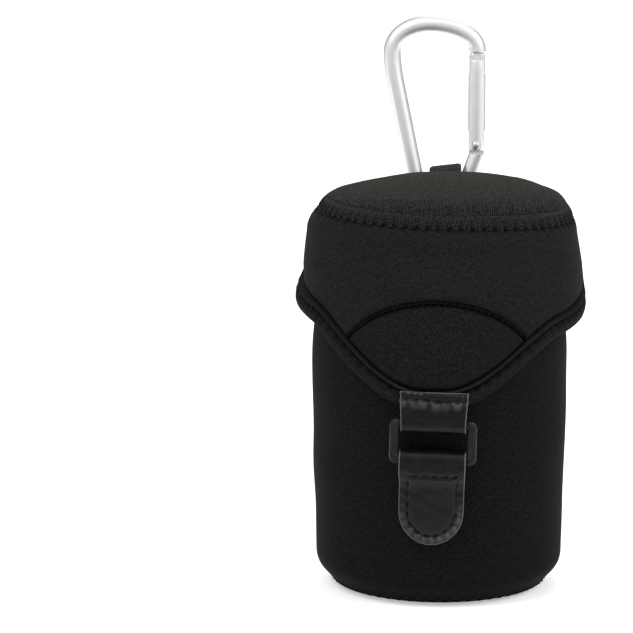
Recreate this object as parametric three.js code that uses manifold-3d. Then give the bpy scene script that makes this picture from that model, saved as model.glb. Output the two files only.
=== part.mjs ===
// Neoprene lens pouch: a soft padded tube with a round base, a domed lid whose flap wraps over the front,
// a leather and plastic closure on the flap's tip, and a spring-gate carabiner in a webbing loop at the back.
// Millimetres, +Z up, the front faces -Y. The origin is the middle of the base, on the surface it stands on.
import * as THREE from "three";
import Module from "manifold-3d";
import { mergeVertices } from "three/addons/utils/BufferGeometryUtils.js";

// Clearances
const fitGap = 0.3;
const cutOverrun = 3;
const weldDistance = fitGap / 1000;

const degrees = Math.PI / 180;

// Padded body
const mouthHeight = 102;
const baseRadius = 37.75;
const bulge = 1;
const bulgeRadius = baseRadius + bulge;
const bulgeHeight = 72;
const mouthTaper = 0.35;
const mouthRadius = baseRadius - mouthTaper;
const baseCorner = 10.5;
const wall = 4;
const baseSeamAngle = 24;
const baseSeamWidth = 2.4;
const bindingDepth = 7;
const bindingThickness = 0.8;

// Flap
const flapThickness = 3.2;
const flapGap = 0.45;
const flapRadius = bulgeRadius + flapGap + flapThickness;
const flapFlareDrop = 5;
const flapFlareTop = mouthHeight - flapFlareDrop;
const flapDrop = 34.4;
const flapTipHeight = mouthHeight - flapDrop;
const flapTipFlat = 3;
const flapRise = 16.5;
const flapRiseWidth = 44;
const flapSideSlope = 0.2;
const flapSideSoftness = 30;
const flapBackStart = 64;
const flapBackRise = 13;
const archRise = 26.4;
const archHeight = flapTipHeight + archRise;
const archHalfWidth = 38;
const archDrop = 34.7;
const archSeamDiameter = 1.5;
const edgeBandWidth = 6.3;
const edgeBandFlare = 1.4;
const edgeBandBulge = 0.5;
const edgeRollOuter = 1.6;
const edgeRollInner = 0.96;

// Lid
const lidInset = 2.4;
const lidRadius = flapRadius - lidInset;
const lidShoulder = 13;
const lidShoulderRise = 8.2;
const lidShoulderHeight = mouthHeight + lidShoulderRise;
const lidCrownRise = 14.9;
const lidCrown = lidShoulderHeight + lidCrownRise;
const lidThickness = 4;
const lidSeamLowAngle = 24;
const lidSeamHighAngle = 46;
const lidDomeAngle = 80;

// Back web, the hinge of the lid
const webHalfAngle = 48;
const webToFlap = 5.68;
const flapHalfWidth = (180 - webHalfAngle) * degrees * flapRadius - webToFlap;

// Closure
const leather = 1.1;
const ringWidth = 26.4;
const ringHeight = 13.6;
const ringBar = 2.6;
const ringDepth = 2.4;
const ringBevel = 0.4;
const ringSideBar = 2.8;
const ringCorner = 2;
const strapFall = 2.3;
const strapClearance = 0.4;
const strapWidth = ringWidth - 2 * (ringSideBar + strapClearance);
const tabClearance = 0.5;
const tabWidth = ringWidth - 2 * (ringSideBar + tabClearance);
const tabLength = 25.7;
const tabThickness = 2;
const hookPatchInset = 2.6;
const hookPatchWidth = tabWidth - 2 * hookPatchInset;
const hookPatchDrop = 3.4;
const hookPatchThickness = 1.2;
const loopPatchInset = 1.15;
const loopPatchWidth = tabWidth - 2 * loopPatchInset;
const loopPatchHeight = 22.6;
const loopPatchThickness = 1;

// Carabiner
const wire = 5.4;
const carabinerLean = 5;
const carabinerOffset = -0.4;
const bottomBend = 9;
const spineAngle = 12;
const noseLegAngle = 19.6;
const gateOffset = 10.7;
const spineOffset = 16.1;
const apexOffset = 4.45;
const noseHeight = 36.5;
const apexRise = 8.7;
const apexHeight = noseHeight + apexRise;
const spineTurnDrop = 0.1;
const spineTurnHeight = noseHeight - spineTurnDrop;
const rivetHeight = 7.24;
const gateBelowRivet = 1.94;
const gateBottomHeight = rivetHeight - gateBelowRivet;
const legGap = 2.1;
const legTopHeight = gateBottomHeight - legGap;
const rivetRadius = 1;
const rivetHeadRadius = 1.4;
const rivetHead = 0.5;
const tongueThickness = 1.7;
const tongueInset = 0.4;
const tongueRadius = wire / 2 - tongueInset;
const gateWall = 1.2;
const gateBore = wire - 2 * gateWall;
const gateSlotDepth = 6.2;
const noseTongueLength = 6;
const noseTongueInset = 0.6;
const noseTongueWidth = wire - 2 * noseTongueInset;
const latchPinRadius = 0.6;
const latchPinDrop = 3.4;
const latchPinInset = 0.4;
const latchPinLength = wire - 2 * latchPinInset;
const gateRound = 0.54;
const springWire = 0.45;
const springClearance = 0.35;
const springDiameter = gateBore - 2 * springClearance;
const springTurns = 8;
const springLength = 11;
const plungerLength = 3.6;
const plungerDiameter = gateBore - 2 * springClearance;

// Hanging loop. The carabiner turns in its eye, about a line a little above the wire's lowest middle line.
// The loop is sewn on a little to the left of the middle, seen from the front.
const hangingOffset = -1.35;
const webbing = 1.2;
const webbingWidth = 9.8;
const webbingSewnLength = 19;
const webbingSewnRise = 1;
const webbingSewnTop = mouthHeight + webbingSewnRise;
const swingStandoff = 9.75;
const swingRadius = bulgeRadius + swingStandoff;
const swingAboveMouth = 12.5;
const swingHeight = mouthHeight + swingAboveMouth;
const swingRise = 2.1;
const loopEyeDepth = 2 * (wire / 2 + swingRise + fitGap);
const loopEyeRise = 2.2;

// Facet counts
const roundSides = 40;
const wireSides = 10;
const wireSteps = 52;

const manifold = await Module();
manifold.setup();

// Mesh helpers

function signedVolume(points, triangles) {
  let volume = 0;
  for (const [a, b, c] of triangles) {
    const [p, q, r] = [points[a], points[b], points[c]];
    volume += p[0] * (q[1] * r[2] - q[2] * r[1]) + p[1] * (q[2] * r[0] - q[0] * r[2]);
    volume += p[2] * (q[0] * r[1] - q[1] * r[0]);
  }
  return volume;
}

function closedGeometry(points, triangles) {
  const inward = signedVolume(points, triangles) < 0;
  const faces = inward ? triangles.map(([a, b, c]) => [a, c, b]) : triangles;
  const geometry = new THREE.BufferGeometry();
  geometry.setAttribute("position", new THREE.Float32BufferAttribute(points.flat(), 3));
  geometry.setIndex(faces.flat());
  return geometry;
}

// A closed sheet between two surfaces, each given as a function of two shares from 0 to 1.
function sheet(columns, rows, outer, inner) {
  const points = [];
  for (const surface of [outer, inner]) {
    for (let i = 0; i <= columns; i++) {
      for (let j = 0; j <= rows; j++) {
        points.push(surface(i / columns, j / rows));
      }
    }
  }
  const side = (columns + 1) * (rows + 1);
  const at = (i, j, layer) => layer * side + i * (rows + 1) + j;
  const triangles = [];
  const quad = (a, b, c, d) => triangles.push([a, b, c], [a, c, d]);
  for (let i = 0; i < columns; i++) {
    for (let j = 0; j < rows; j++) {
      quad(at(i, j, 0), at(i + 1, j, 0), at(i + 1, j + 1, 0), at(i, j + 1, 0));
      quad(at(i, j, 1), at(i, j + 1, 1), at(i + 1, j + 1, 1), at(i + 1, j, 1));
    }
    quad(at(i, 0, 0), at(i, 0, 1), at(i + 1, 0, 1), at(i + 1, 0, 0));
    quad(at(i, rows, 0), at(i + 1, rows, 0), at(i + 1, rows, 1), at(i, rows, 1));
  }
  for (let j = 0; j < rows; j++) {
    quad(at(0, j, 0), at(0, j + 1, 0), at(0, j + 1, 1), at(0, j, 1));
    quad(at(columns, j, 0), at(columns, j, 1), at(columns, j + 1, 1), at(columns, j + 1, 0));
  }
  return closedGeometry(points, triangles);
}

// A profile of [radius, height] pairs turned about the Z axis.
function turned(profile, sides = roundSides) {
  const outline = profile.map(([radius, height]) => new THREE.Vector2(radius, height));
  return toSolid(new THREE.LatheGeometry(outline, sides).rotateX(Math.PI / 2));
}

function mergedParts(geometry) {
  const bare = geometry.clone();
  for (const name of Object.keys(bare.attributes)) {
    if (name !== "position") {
      bare.deleteAttribute(name);
    }
  }
  const merged = mergeVertices(bare, weldDistance);
  const position = merged.attributes.position;
  const index = merged.index.array;
  const points = [];
  for (let i = 0; i < position.count; i++) {
    points.push([position.getX(i), position.getY(i), position.getZ(i)]);
  }
  const triangles = [];
  for (let i = 0; i < index.length; i += 3) {
    const [a, b, c] = [index[i], index[i + 1], index[i + 2]];
    if (a !== b && b !== c && c !== a) {
      triangles.push([a, b, c]);
    }
  }
  return { points, triangles };
}

function toSolid(geometry) {
  const { points, triangles } = mergedParts(geometry);
  return closedGeometry(points, triangles);
}

function toManifold(geometry) {
  const solid = toSolid(geometry);
  return new manifold.Manifold(new manifold.Mesh({
    numProp: 3,
    vertProperties: new Float32Array(solid.attributes.position.array),
    triVerts: new Uint32Array(solid.index.array),
  }));
}

function fromManifold(solid) {
  const mesh = solid.getMesh();
  const geometry = new THREE.BufferGeometry();
  geometry.setAttribute("position", new THREE.BufferAttribute(new Float32Array(mesh.vertProperties), 3));
  geometry.setIndex(new THREE.BufferAttribute(new Uint32Array(mesh.triVerts), 1));
  return geometry;
}

function joined(...geometries) {
  return fromManifold(geometries.map(toManifold).reduce((whole, piece) => whole.add(piece)));
}

function cut(geometry, ...cutters) {
  const whole = toManifold(geometry);
  return fromManifold(cutters.map(toManifold).reduce((left, cutter) => left.subtract(cutter), whole));
}

function box(width, depth, height, x, y, z) {
  return new THREE.BoxGeometry(width, depth, height).translate(x, y, z);
}

// A round bar whose axis runs along Y.
function crossBar(radius, length, x, z) {
  return new THREE.CylinderGeometry(radius, radius, length, wireSides * 2).translate(x, 0, z);
}

// A round bar whose axis runs along Z, from one height to another.
function uprightBar(radius, bottom, top, x) {
  const bar = new THREE.CylinderGeometry(radius, radius, top - bottom, wireSides * 2);
  return bar.rotateX(Math.PI / 2).translate(x, 0, (bottom + top) / 2);
}

const smooth = (share) => {
  const t = Math.min(Math.max(share, 0), 1);
  return t * t * (3 - 2 * t);
};

// Body

function bodyOuter(height) {
  if (height < bulgeHeight) {
    const share = (height - baseCorner) / (bulgeHeight - baseCorner);
    return baseRadius + (bulgeRadius - baseRadius) * smooth(share);
  }
  return bulgeRadius - (bulgeRadius - mouthRadius) * smooth((height - bulgeHeight) / (mouthHeight - bulgeHeight));
}

// A point of the rounded base edge, at an angle up from straight down.
function baseEdge(radius, angle) {
  const middle = baseRadius - baseCorner;
  return [middle + radius * Math.sin(angle * degrees), baseCorner - radius * Math.cos(angle * degrees)];
}

function arcOf(point, radius, from, to, steps) {
  return Array.from({ length: steps + 1 }, (_, i) => point(radius, from + ((to - from) * i) / steps));
}

const gapAngle = fitGap / baseCorner / degrees;
const baseSeamHalfAngle = baseSeamWidth / 2 / baseCorner / degrees;
const baseSeamLow = baseSeamAngle - baseSeamHalfAngle;
const baseSeamHigh = baseSeamAngle + baseSeamHalfAngle;

function basePanel() {
  const outer = arcOf(baseEdge, baseCorner, 0, baseSeamLow - gapAngle, 2);
  const inner = arcOf(baseEdge, baseCorner - wall, baseSeamLow - gapAngle, 0, 2);
  return turned([[0, 0], ...outer, ...inner, [0, wall]]);
}

function baseSeam() {
  const outer = arcOf(baseEdge, baseCorner, baseSeamLow, baseSeamHigh, 2);
  const inner = arcOf(baseEdge, baseCorner - wall, baseSeamHigh, baseSeamLow, 2);
  return turned([...outer, ...inner, outer[0]]);
}

function bodyWall() {
  const lip = mouthHeight - bindingDepth;
  const step = bindingThickness + fitGap;
  const heightShares = [0.2, 0.45, 0.7, 0.86];
  const heights = heightShares.map((share) => baseCorner + (lip - baseCorner) * share);
  const outer = arcOf(baseEdge, baseCorner, baseSeamHigh + gapAngle, 90, 4);
  const inner = arcOf(baseEdge, baseCorner - wall, 90, baseSeamHigh + gapAngle, 3);
  const up = heights.map((height) => [bodyOuter(height), height]);
  const down = heights.map((height) => [bodyOuter(height) - wall, height]).reverse();
  const lipTop = mouthHeight - step;
  const mouth = [
    [bodyOuter(lip), lip],
    [bodyOuter(lip) - step, lip + fitGap],
    [bodyOuter(lipTop) - step, lipTop],
    [bodyOuter(lipTop) - wall + step, lipTop],
    [bodyOuter(lip) - wall + step, lip + fitGap],
    [bodyOuter(lip) - wall, lip],
  ];
  return turned([...outer, ...up, ...mouth, ...down, ...inner, outer[0]]);
}

function mouthBinding() {
  const low = mouthHeight - bindingDepth + 2 * fitGap;
  const round = wall / 2;
  const high = mouthHeight - round;
  const middle = bodyOuter(mouthHeight) - round;
  const cap = (radius, from, to) =>
    [0, 1 / 3, 2 / 3, 1].map((share) => {
      const angle = (from + (to - from) * share) * degrees;
      return [middle + radius * Math.cos(angle), high + radius * Math.sin(angle)];
    });
  const inset = round - bindingThickness;
  const profile = [
    [bodyOuter(low) - bindingThickness, low],
    [bodyOuter(low), low],
    ...cap(round, 0, 180),
    [bodyOuter(low) - wall, low],
    [bodyOuter(low) - wall + bindingThickness, low],
    [middle - inset, mouthHeight - bindingThickness],
    [middle + inset, mouthHeight - bindingThickness],
  ];
  return turned([...profile, profile[0]]);
}

// A point on the cylinder around the Z axis: azimuth in radians from the front, positive towards +X.
function around(radius, azimuth, height) {
  return [radius * Math.sin(azimuth), -radius * Math.cos(azimuth), height];
}

function backWeb() {
  const low = mouthHeight + fitGap;
  const half = webHalfAngle * degrees;
  const surface = (depth) => {
    const bottomRadius = bodyOuter(mouthHeight) - depth;
    const [topRadius, seamHeight] = lidEdge(lidShoulder - depth, lidSeamLowAngle);
    return (u, v) => {
      const height = low + (seamHeight - 2 * fitGap - low) * v;
      const radius = bottomRadius + (topRadius - bottomRadius) * v;
      return around(radius, Math.PI - half + 2 * half * u, height);
    };
  };
  return sheet(16, 3, surface(0), surface(wall));
}

// Lid

// A point of the lid's rounded shoulder, at an angle up from level.
function lidEdge(radius, angle) {
  const middle = lidRadius - lidShoulder;
  return [middle + radius * Math.cos(angle * degrees), lidShoulderHeight + radius * Math.sin(angle * degrees)];
}

const lidGapAngle = fitGap / lidShoulder / degrees;

function topPanel() {
  const start = lidSeamHighAngle + lidGapAngle;
  const domeEdge = lidEdge(lidShoulder, lidDomeAngle);
  const dome = (share) => [
    domeEdge[0] * share,
    lidCrown - (lidCrown - domeEdge[1]) * share * share,
  ];
  const domeShares = [0.7, 0.35, 0];
  const outer = domeShares.map(dome);
  const inner = outer.map(([radius, height]) => [radius, height - lidThickness]).reverse();
  const shoulder = arcOf(lidEdge, lidShoulder, start, lidDomeAngle, 3);
  const underside = arcOf(lidEdge, lidShoulder - lidThickness, lidDomeAngle, start, 3);
  return turned([...shoulder, ...outer, ...inner, ...underside, shoulder[0]]);
}

function lidSeam() {
  const outer = arcOf(lidEdge, lidShoulder, lidSeamLowAngle, lidSeamHighAngle, 3);
  const inner = arcOf(lidEdge, lidShoulder - lidThickness, lidSeamHighAngle, lidSeamLowAngle, 3);
  return turned([...outer, ...inner, outer[0]]);
}

// Flap, laid out flat: a distance along the cloth from the front's middle line, and a height.

function flapOuter(height) {
  if (height > lidShoulderHeight) {
    const up = height - lidShoulderHeight;
    return lidRadius - lidShoulder + Math.sqrt(lidShoulder * lidShoulder - up * up);
  }
  const share = (height - flapFlareTop) / (lidShoulderHeight - flapFlareTop);
  return flapRadius - (flapRadius - lidRadius) * smooth(share);
}

function flapEdge(along) {
  const away = Math.abs(along);
  const front = flapRise * smooth((away - flapTipFlat) / (flapRiseWidth - flapTipFlat));
  const side = flapSideSlope * (Math.hypot(away, flapSideSoftness) - flapSideSoftness);
  const back = flapBackRise * smooth((away - flapBackStart) / (flapHalfWidth - flapBackStart));
  return flapTipHeight + front + side + back;
}

function archLine(along) {
  const share = Math.min(Math.abs(along) / archHalfWidth, 1);
  return archHeight - archDrop * (1 - Math.sqrt(1 - share * share));
}

// The distance from the middle line at which the arch meets the flap's edge.
function archReach() {
  let [low, high] = [0, archHalfWidth];
  for (let i = 0; i < 40; i++) {
    const middle = (low + high) / 2;
    if (archLine(middle) > flapEdge(middle)) {
      low = middle;
    } else {
      high = middle;
    }
  }
  return low;
}

const archSlot = archSeamDiameter + 2 * fitGap;
const archEnd = archReach();
const tipPanelInset = archSlot * 1.6;
const archSeamInset = archSlot * 1.2;

function onFlap(along, height, depth) {
  return around(flapOuter(height) - depth, along / flapRadius, height);
}

function flapPanel() {
  const sideColumns = 12;
  const archColumns = 18;
  const columns = 2 * sideColumns + archColumns;
  const places = [];
  for (let i = 0; i < sideColumns; i++) {
    places.push(-flapHalfWidth + ((flapHalfWidth - archEnd) * i) / sideColumns);
  }
  for (let i = 0; i <= archColumns; i++) {
    places.push(-archEnd + (2 * archEnd * i) / archColumns);
  }
  for (let i = 1; i <= sideColumns; i++) {
    places.push(archEnd + ((flapHalfWidth - archEnd) * i) / sideColumns);
  }
  const surface = (depth) => (u, v) => {
    const along = places[Math.round(u * columns)];
    const low = Math.max(flapEdge(along), archLine(along) + archSlot / 2);
    const high = lidEdge(lidShoulder - depth, lidSeamLowAngle)[1] - 2 * fitGap;
    return onFlap(along, low + (high - low) * v, depth);
  };
  return sheet(columns, 6, surface(0), surface(flapThickness));
}

function flapTipPanel() {
  const half = archEnd - tipPanelInset;
  const surface = (depth) => (u, v) => {
    const along = half * (2 * u - 1);
    const low = flapEdge(along);
    return onFlap(along, low + (archLine(along) - archSlot / 2 - low) * v, depth);
  };
  return sheet(20, 4, surface(0), surface(flapThickness));
}

function archSeam() {
  const half = archEnd - archSeamInset;
  const steps = 24;
  const points = Array.from({ length: steps + 1 }, (_, i) => {
    const along = half * ((2 * i) / steps - 1);
    return new THREE.Vector3(...onFlap(along, archLine(along), archSeamDiameter / 3));
  });
  return tubeAlong(points, archSeamDiameter / 2, steps, 6);
}

function tubeAlong(points, radius, steps, sides) {
  const section = new THREE.Shape();
  section.setFromPoints(Array.from({ length: sides }, (_, i) => {
    const angle = (2 * Math.PI * i) / sides;
    return new THREE.Vector2(radius * Math.cos(angle), radius * Math.sin(angle));
  }));
  const path = new THREE.CatmullRomCurve3(points);
  return toSolid(new THREE.ExtrudeGeometry(section, { steps, extrudePath: path, bevelEnabled: false }));
}

// The rolled edge of the flap: a band set square to the flap's edge, standing a little off the body.
// The shares are the part of a half circle that its rounding follows from one side of the band to the other.
const rollStartShare = 0.2;
const rollSpanShare = 0.6;

function flapBinding() {
  const half = flapHalfWidth - fitGap;
  const delta = half / 200;
  const rollShare = (v) => 1 - Math.sin(Math.PI * (rollStartShare + rollSpanShare * v));
  const surface = (outside) => (u, v) => {
    const along = half * (2 * u - 1);
    const slope = (flapEdge(along + delta) - flapEdge(along - delta)) / (2 * delta);
    const across = fitGap + (edgeBandWidth - fitGap) * v;
    const length = Math.hypot(1, slope);
    const height = flapEdge(along) - across / length;
    const azimuth = (along + (across * slope) / length) / flapRadius;
    const swell = edgeBandBulge * Math.sin(Math.PI * v) + edgeBandFlare * v;
    const base = outside ? flapOuter(height) : flapOuter(height) - flapThickness;
    const roundIn = rollShare(v) * (outside ? -edgeRollOuter : edgeRollInner);
    return around(base + swell + roundIn, azimuth, height);
  };
  return sheet(46, 4, surface(true), surface(false));
}

// Closure: a leather strap on the flap's tip, a rigid ring, and a leather tab that holds on the body by its patch.

const barRadius = ringBar / 2;
const eyeHole = Math.hypot(barRadius, ringDepth / 2 - ringBevel) + fitGap;
const eyeOuter = eyeHole + leather;
const bandBottom = flapTipHeight - edgeBandWidth;
const upperBarHeight = bandBottom - leather - strapFall;
const lowerBarHeight = upperBarHeight - ringHeight + ringBar;
const ringMiddleHeight = (upperBarHeight + lowerBarHeight) / 2;
const ringRadius = bodyOuter(ringMiddleHeight) + eyeOuter + fitGap;
const tabBottomHeight = lowerBarHeight - tabLength;
const hookPatchTopHeight = lowerBarHeight - barRadius - hookPatchDrop;

// A flat outline of [depth, height] pairs, carried across the pouch by a width about the middle.
function acrossPouch(outline, width) {
  const shape = new THREE.Shape(outline.map(([depth, height]) => new THREE.Vector2(height, depth)));
  const geometry = new THREE.ExtrudeGeometry(shape, { depth: width, bevelEnabled: false });
  const turn = new THREE.Matrix4().set(0, 0, 1, -width / 2, 0, 1, 0, 0, 1, 0, 0, 0, 0, 0, 0, 1);
  return toSolid(geometry.applyMatrix4(turn));
}

function eyeAround(height, width) {
  const along = (radius, length) => {
    const bar = new THREE.CylinderGeometry(radius, radius, length, wireSides * 2);
    return bar.rotateZ(Math.PI / 2).translate(0, -ringRadius, height);
  };
  return cut(along(eyeOuter, width), along(eyeHole, width + 2 * cutOverrun));
}

function anchorStrap() {
  const bandFront = flapRadius + edgeBandBulge + fitGap * 2;
  const front = ringRadius + eyeOuter;
  const tongue = [
    [-front, upperBarHeight],
    [-front, bandBottom - leather],
    [-(bandFront + edgeBandFlare + leather), bandBottom + leather],
    [-(bandFront + leather), flapTipHeight],
    [-bandFront, flapTipHeight],
    [-(bandFront + edgeBandFlare), bandBottom + leather],
    [-(front - leather), bandBottom - leather],
    [-(front - leather), upperBarHeight],
  ];
  return joined(eyeAround(upperBarHeight, strapWidth), acrossPouch(tongue, strapWidth));
}

function ringBuckle() {
  const half = ringWidth / 2;
  const plate = new THREE.Shape();
  const low = ringMiddleHeight - ringHeight / 2;
  const high = ringMiddleHeight + ringHeight / 2;
  plate.moveTo(-half + ringCorner, low);
  plate.lineTo(half - ringCorner, low);
  plate.absarc(half - ringCorner, low + ringCorner, ringCorner, -Math.PI / 2, 0);
  plate.absarc(half - ringCorner, high - ringCorner, ringCorner, 0, Math.PI / 2);
  plate.absarc(-half + ringCorner, high - ringCorner, ringCorner, Math.PI / 2, Math.PI);
  plate.absarc(-half + ringCorner, low + ringCorner, ringCorner, Math.PI, 1.5 * Math.PI);
  const window = new THREE.Path();
  const inner = half - ringSideBar;
  window.moveTo(-inner, low + ringBar);
  window.lineTo(-inner, high - ringBar);
  window.lineTo(inner, high - ringBar);
  window.lineTo(inner, low + ringBar);
  window.closePath();
  plate.holes.push(window);
  const settings = {
    depth: ringDepth - 2 * ringBevel,
    bevelEnabled: true,
    bevelThickness: ringBevel,
    bevelSize: ringBevel,
    bevelOffset: -ringBevel,
    bevelSegments: 1,
    curveSegments: 5,
  };
  const geometry = new THREE.ExtrudeGeometry(plate, settings);
  geometry.rotateX(Math.PI / 2).translate(0, ringDepth / 2 - ringBevel - ringRadius, 0);
  return toSolid(geometry);
}

// Half the width of a U-shaped piece at a height above its round bottom end.
function roundEndReach(half, across) {
  return half - Math.sqrt(Math.max(half * half - across * across, 0));
}

// A patch with a straight top and a round bottom, bent around the body.
function bentPatch(width, bottom, top, radius, thickness) {
  const half = width / 2;
  const surface = (depth) => (u, v) => {
    const across = half * Math.sin((u - 1 / 2) * Math.PI);
    const low = bottom + roundEndReach(half, across);
    const height = low + (top - low) * v;
    return around(bodyOuter(height) + radius + depth, across / bodyOuter(height), height);
  };
  return sheet(12, 5, surface(thickness), surface(0));
}

const loopPatchStandoff = fitGap;
const hookPatchStandoff = loopPatchStandoff + loopPatchThickness + fitGap;
const tabStandoff = hookPatchStandoff + hookPatchThickness + fitGap;

function pullTab() {
  const bendTop = lowerBarHeight - eyeOuter;
  const front = ringRadius + eyeOuter;
  const bendLength = 2 * eyeOuter;
  const tongueFront = bodyOuter(bendTop) + tabStandoff + tabThickness;
  const half = tabWidth / 2;
  const surface = (outside) => (u, v) => {
    const across = half * Math.sin((u - 1 / 2) * Math.PI);
    const low = tabBottomHeight + roundEndReach(half, across);
    const height = low + (lowerBarHeight - low) * v;
    const blend = smooth((height - bendTop + bendLength) / bendLength);
    const flat = [across, outside ? -front : -(front - leather), height];
    const depth = tabStandoff + (outside ? tabThickness : 0);
    const bent = around(bodyOuter(height) + depth, across / tongueFront, height);
    return bent.map((value, k) => value + (flat[k] - value) * blend);
  };
  return joined(sheet(12, 9, surface(true), surface(false)), eyeAround(lowerBarHeight, tabWidth));
}

function hookPatch() {
  const bottom = tabBottomHeight + hookPatchInset;
  return bentPatch(hookPatchWidth, bottom, hookPatchTopHeight, hookPatchStandoff, hookPatchThickness);
}

function loopPatch() {
  const bottom = tabBottomHeight + loopPatchInset;
  return bentPatch(loopPatchWidth, bottom, bottom + loopPatchHeight, loopPatchStandoff, loopPatchThickness);
}

// Hanging loop: webbing sewn flat on the back, then an eye that stands out round the carabiner.

function hangLoop() {
  const round = loopEyeDepth / 2;
  const eyeTop = swingHeight + loopEyeRise;
  const tunnel = (radius, width) => {
    const half = (height, start) => Array.from({ length: 9 }, (_, i) => {
      const angle = (start + (180 * i) / 8) * degrees;
      return [swingRadius + radius * Math.cos(angle), height + radius * Math.sin(angle)];
    });
    return acrossPouch([...half(eyeTop, 0), ...half(swingHeight, 180)], width);
  };
  const innerFace = bulgeRadius + fitGap;
  const outerFace = innerFace + 2 * webbing;
  const eyeBottom = swingHeight - round;
  const sewn = acrossPouch([
    [innerFace, webbingSewnTop - webbingSewnLength],
    [outerFace, webbingSewnTop - webbingSewnLength],
    [outerFace, webbingSewnTop - webbing],
    [swingRadius + webbing, eyeBottom - webbing / 3],
    [swingRadius - 2 * webbing, eyeBottom + webbing / 3],
    [innerFace + webbing / 2, webbingSewnTop + webbing / 2],
    [innerFace, webbingSewnTop - webbing],
  ], webbingWidth);
  return cut(joined(tunnel(round + webbing, webbingWidth), sewn), tunnel(round, webbingWidth + 2 * cutOverrun));
}

// Carabiner, drawn upright in its own plane: X across, Z up, the bottom bend's centre at the origin.

const polar = (x, z, angle, radiusX, radiusZ = radiusX) =>
  new THREE.Vector3(x + radiusX * Math.cos(angle * degrees), 0, z + radiusZ * Math.sin(angle * degrees));

function wirePath() {
  const points = [new THREE.Vector3(gateOffset, 0, noseHeight)];
  const rightTurn = noseHeight + wire / 8;
  for (let angle = 0; angle <= 90; angle += 10) {
    points.push(polar(-apexOffset, rightTurn, angle, gateOffset + apexOffset, apexHeight - rightTurn));
  }
  const leftTurn = apexHeight - spineTurnHeight;
  for (let angle = 100; angle <= 180; angle += 10) {
    points.push(polar(-apexOffset, spineTurnHeight, angle, spineOffset - apexOffset, leftTurn));
  }
  const leftTangent = polar(0, 0, 180 + spineAngle, bottomBend);
  const spineTop = spineTurnHeight - 2 * wire;
  for (const share of [0, 1 / 4, 1 / 2, 3 / 4]) {
    const height = spineTop + (leftTangent.z - spineTop) * share;
    const x = leftTangent.x - (height - leftTangent.z) * Math.tan(spineAngle * degrees);
    points.push(new THREE.Vector3(x, 0, height));
  }
  const start = 180 + spineAngle;
  const end = 360 - noseLegAngle;
  const bendSteps = 12;
  for (let i = 0; i <= bendSteps; i++) {
    points.push(polar(0, 0, start + ((end - start) * i) / bendSteps, bottomBend));
  }
  const rightTangent = polar(0, 0, end, bottomBend);
  const rise = legTopHeight - rightTangent.z;
  for (const share of [1 / 2, 1]) {
    const height = rightTangent.z + rise * share;
    const x = rightTangent.x + rise * share * Math.tan(noseLegAngle * degrees);
    points.push(new THREE.Vector3(x, 0, height));
  }
  return points;
}

function plateOutline(points, thickness) {
  const shape = new THREE.Shape(points.map(([x, z]) => new THREE.Vector2(x, z)));
  const geometry = new THREE.ExtrudeGeometry(shape, { depth: thickness, bevelEnabled: false, curveSegments: 8 });
  return geometry.rotateX(Math.PI / 2).translate(0, thickness / 2, 0);
}

const latchPinHeight = noseHeight - latchPinDrop;

function carabinerFrame() {
  const bent = tubeAlong(wirePath(), wire / 2, wireSteps, wireSides);
  const halfTongue = noseTongueWidth / 2;
  const tongueLow = noseHeight - noseTongueLength;
  const nose = plateOutline([
    [gateOffset - halfTongue, noseHeight + wire / 4],
    [gateOffset - halfTongue, tongueLow],
    [gateOffset + halfTongue, tongueLow],
    [gateOffset + halfTongue, noseHeight + wire / 4],
  ], tongueThickness);
  const notchRadius = latchPinRadius + fitGap;
  const notchLength = halfTongue + notchRadius + cutOverrun;
  const notchMiddle = gateOffset + notchRadius - notchLength / 2;
  const notch = box(notchLength, wire, 2 * notchRadius, notchMiddle, 0, latchPinHeight);
  const foot = plateOutline([
    [gateOffset - tongueRadius, legTopHeight - wire / 3],
    [gateOffset + tongueRadius, legTopHeight - wire / 3],
    [gateOffset + tongueRadius, rivetHeight + tongueRadius],
    [gateOffset - tongueRadius, rivetHeight + tongueRadius],
  ], tongueThickness);
  const rivetHole = crossBar(rivetRadius + fitGap, wire * 2, gateOffset, rivetHeight);
  return cut(joined(bent, nose, foot), notch, rivetHole);
}

const gateTop = noseHeight - fitGap;

function gateTube() {
  const round = gateRound;
  const body = turned([
    [0, gateBottomHeight],
    [wire / 2 - round, gateBottomHeight],
    [wire / 2, gateBottomHeight + round],
    [wire / 2, gateTop - wire / 2],
    [wire / 2 - round / 2, gateTop - wire / 2 + round / 2],
    [wire / 2, gateTop - wire / 2 + round],
    [wire / 2, gateTop - round * 2],
    [wire / 2 - round, gateTop - round / 2],
    [wire / 2 - round * 2, gateTop],
    [0, gateTop],
  ], wireSides * 2).translate(gateOffset, 0, 0);
  const slot = tongueThickness + 2 * fitGap;
  const slotTop = gateBottomHeight + gateSlotDepth;
  const lowSlot = box(wire + 2 * cutOverrun, slot, gateSlotDepth + cutOverrun,
    gateOffset, 0, slotTop - (gateSlotDepth + cutOverrun) / 2);
  const highDepth = noseTongueLength + 2 * fitGap;
  const highSlot = box(wire + 2 * cutOverrun, slot, highDepth + cutOverrun,
    gateOffset, 0, gateTop - highDepth + (highDepth + cutOverrun) / 2);
  const bore = uprightBar(gateBore / 2, slotTop - cutOverrun, slotTop + springLength + plungerLength, gateOffset);
  const rivetHole = crossBar(rivetRadius + fitGap, wire * 2, gateOffset, rivetHeight);
  const pinHole = crossBar(latchPinRadius + fitGap / 2, wire * 2, gateOffset, latchPinHeight);
  return cut(body, lowSlot, highSlot, bore, rivetHole, pinHole);
}

function gateRivet() {
  const head = (side) => crossBar(rivetHeadRadius, rivetHead, 0, 0)
    .translate(gateOffset, side * (wire / 2 + fitGap + rivetHead / 2), rivetHeight);
  const shank = crossBar(rivetRadius, wire + 2 * fitGap + rivetHead, gateOffset, rivetHeight);
  return joined(shank, head(1), head(-1));
}

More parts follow.
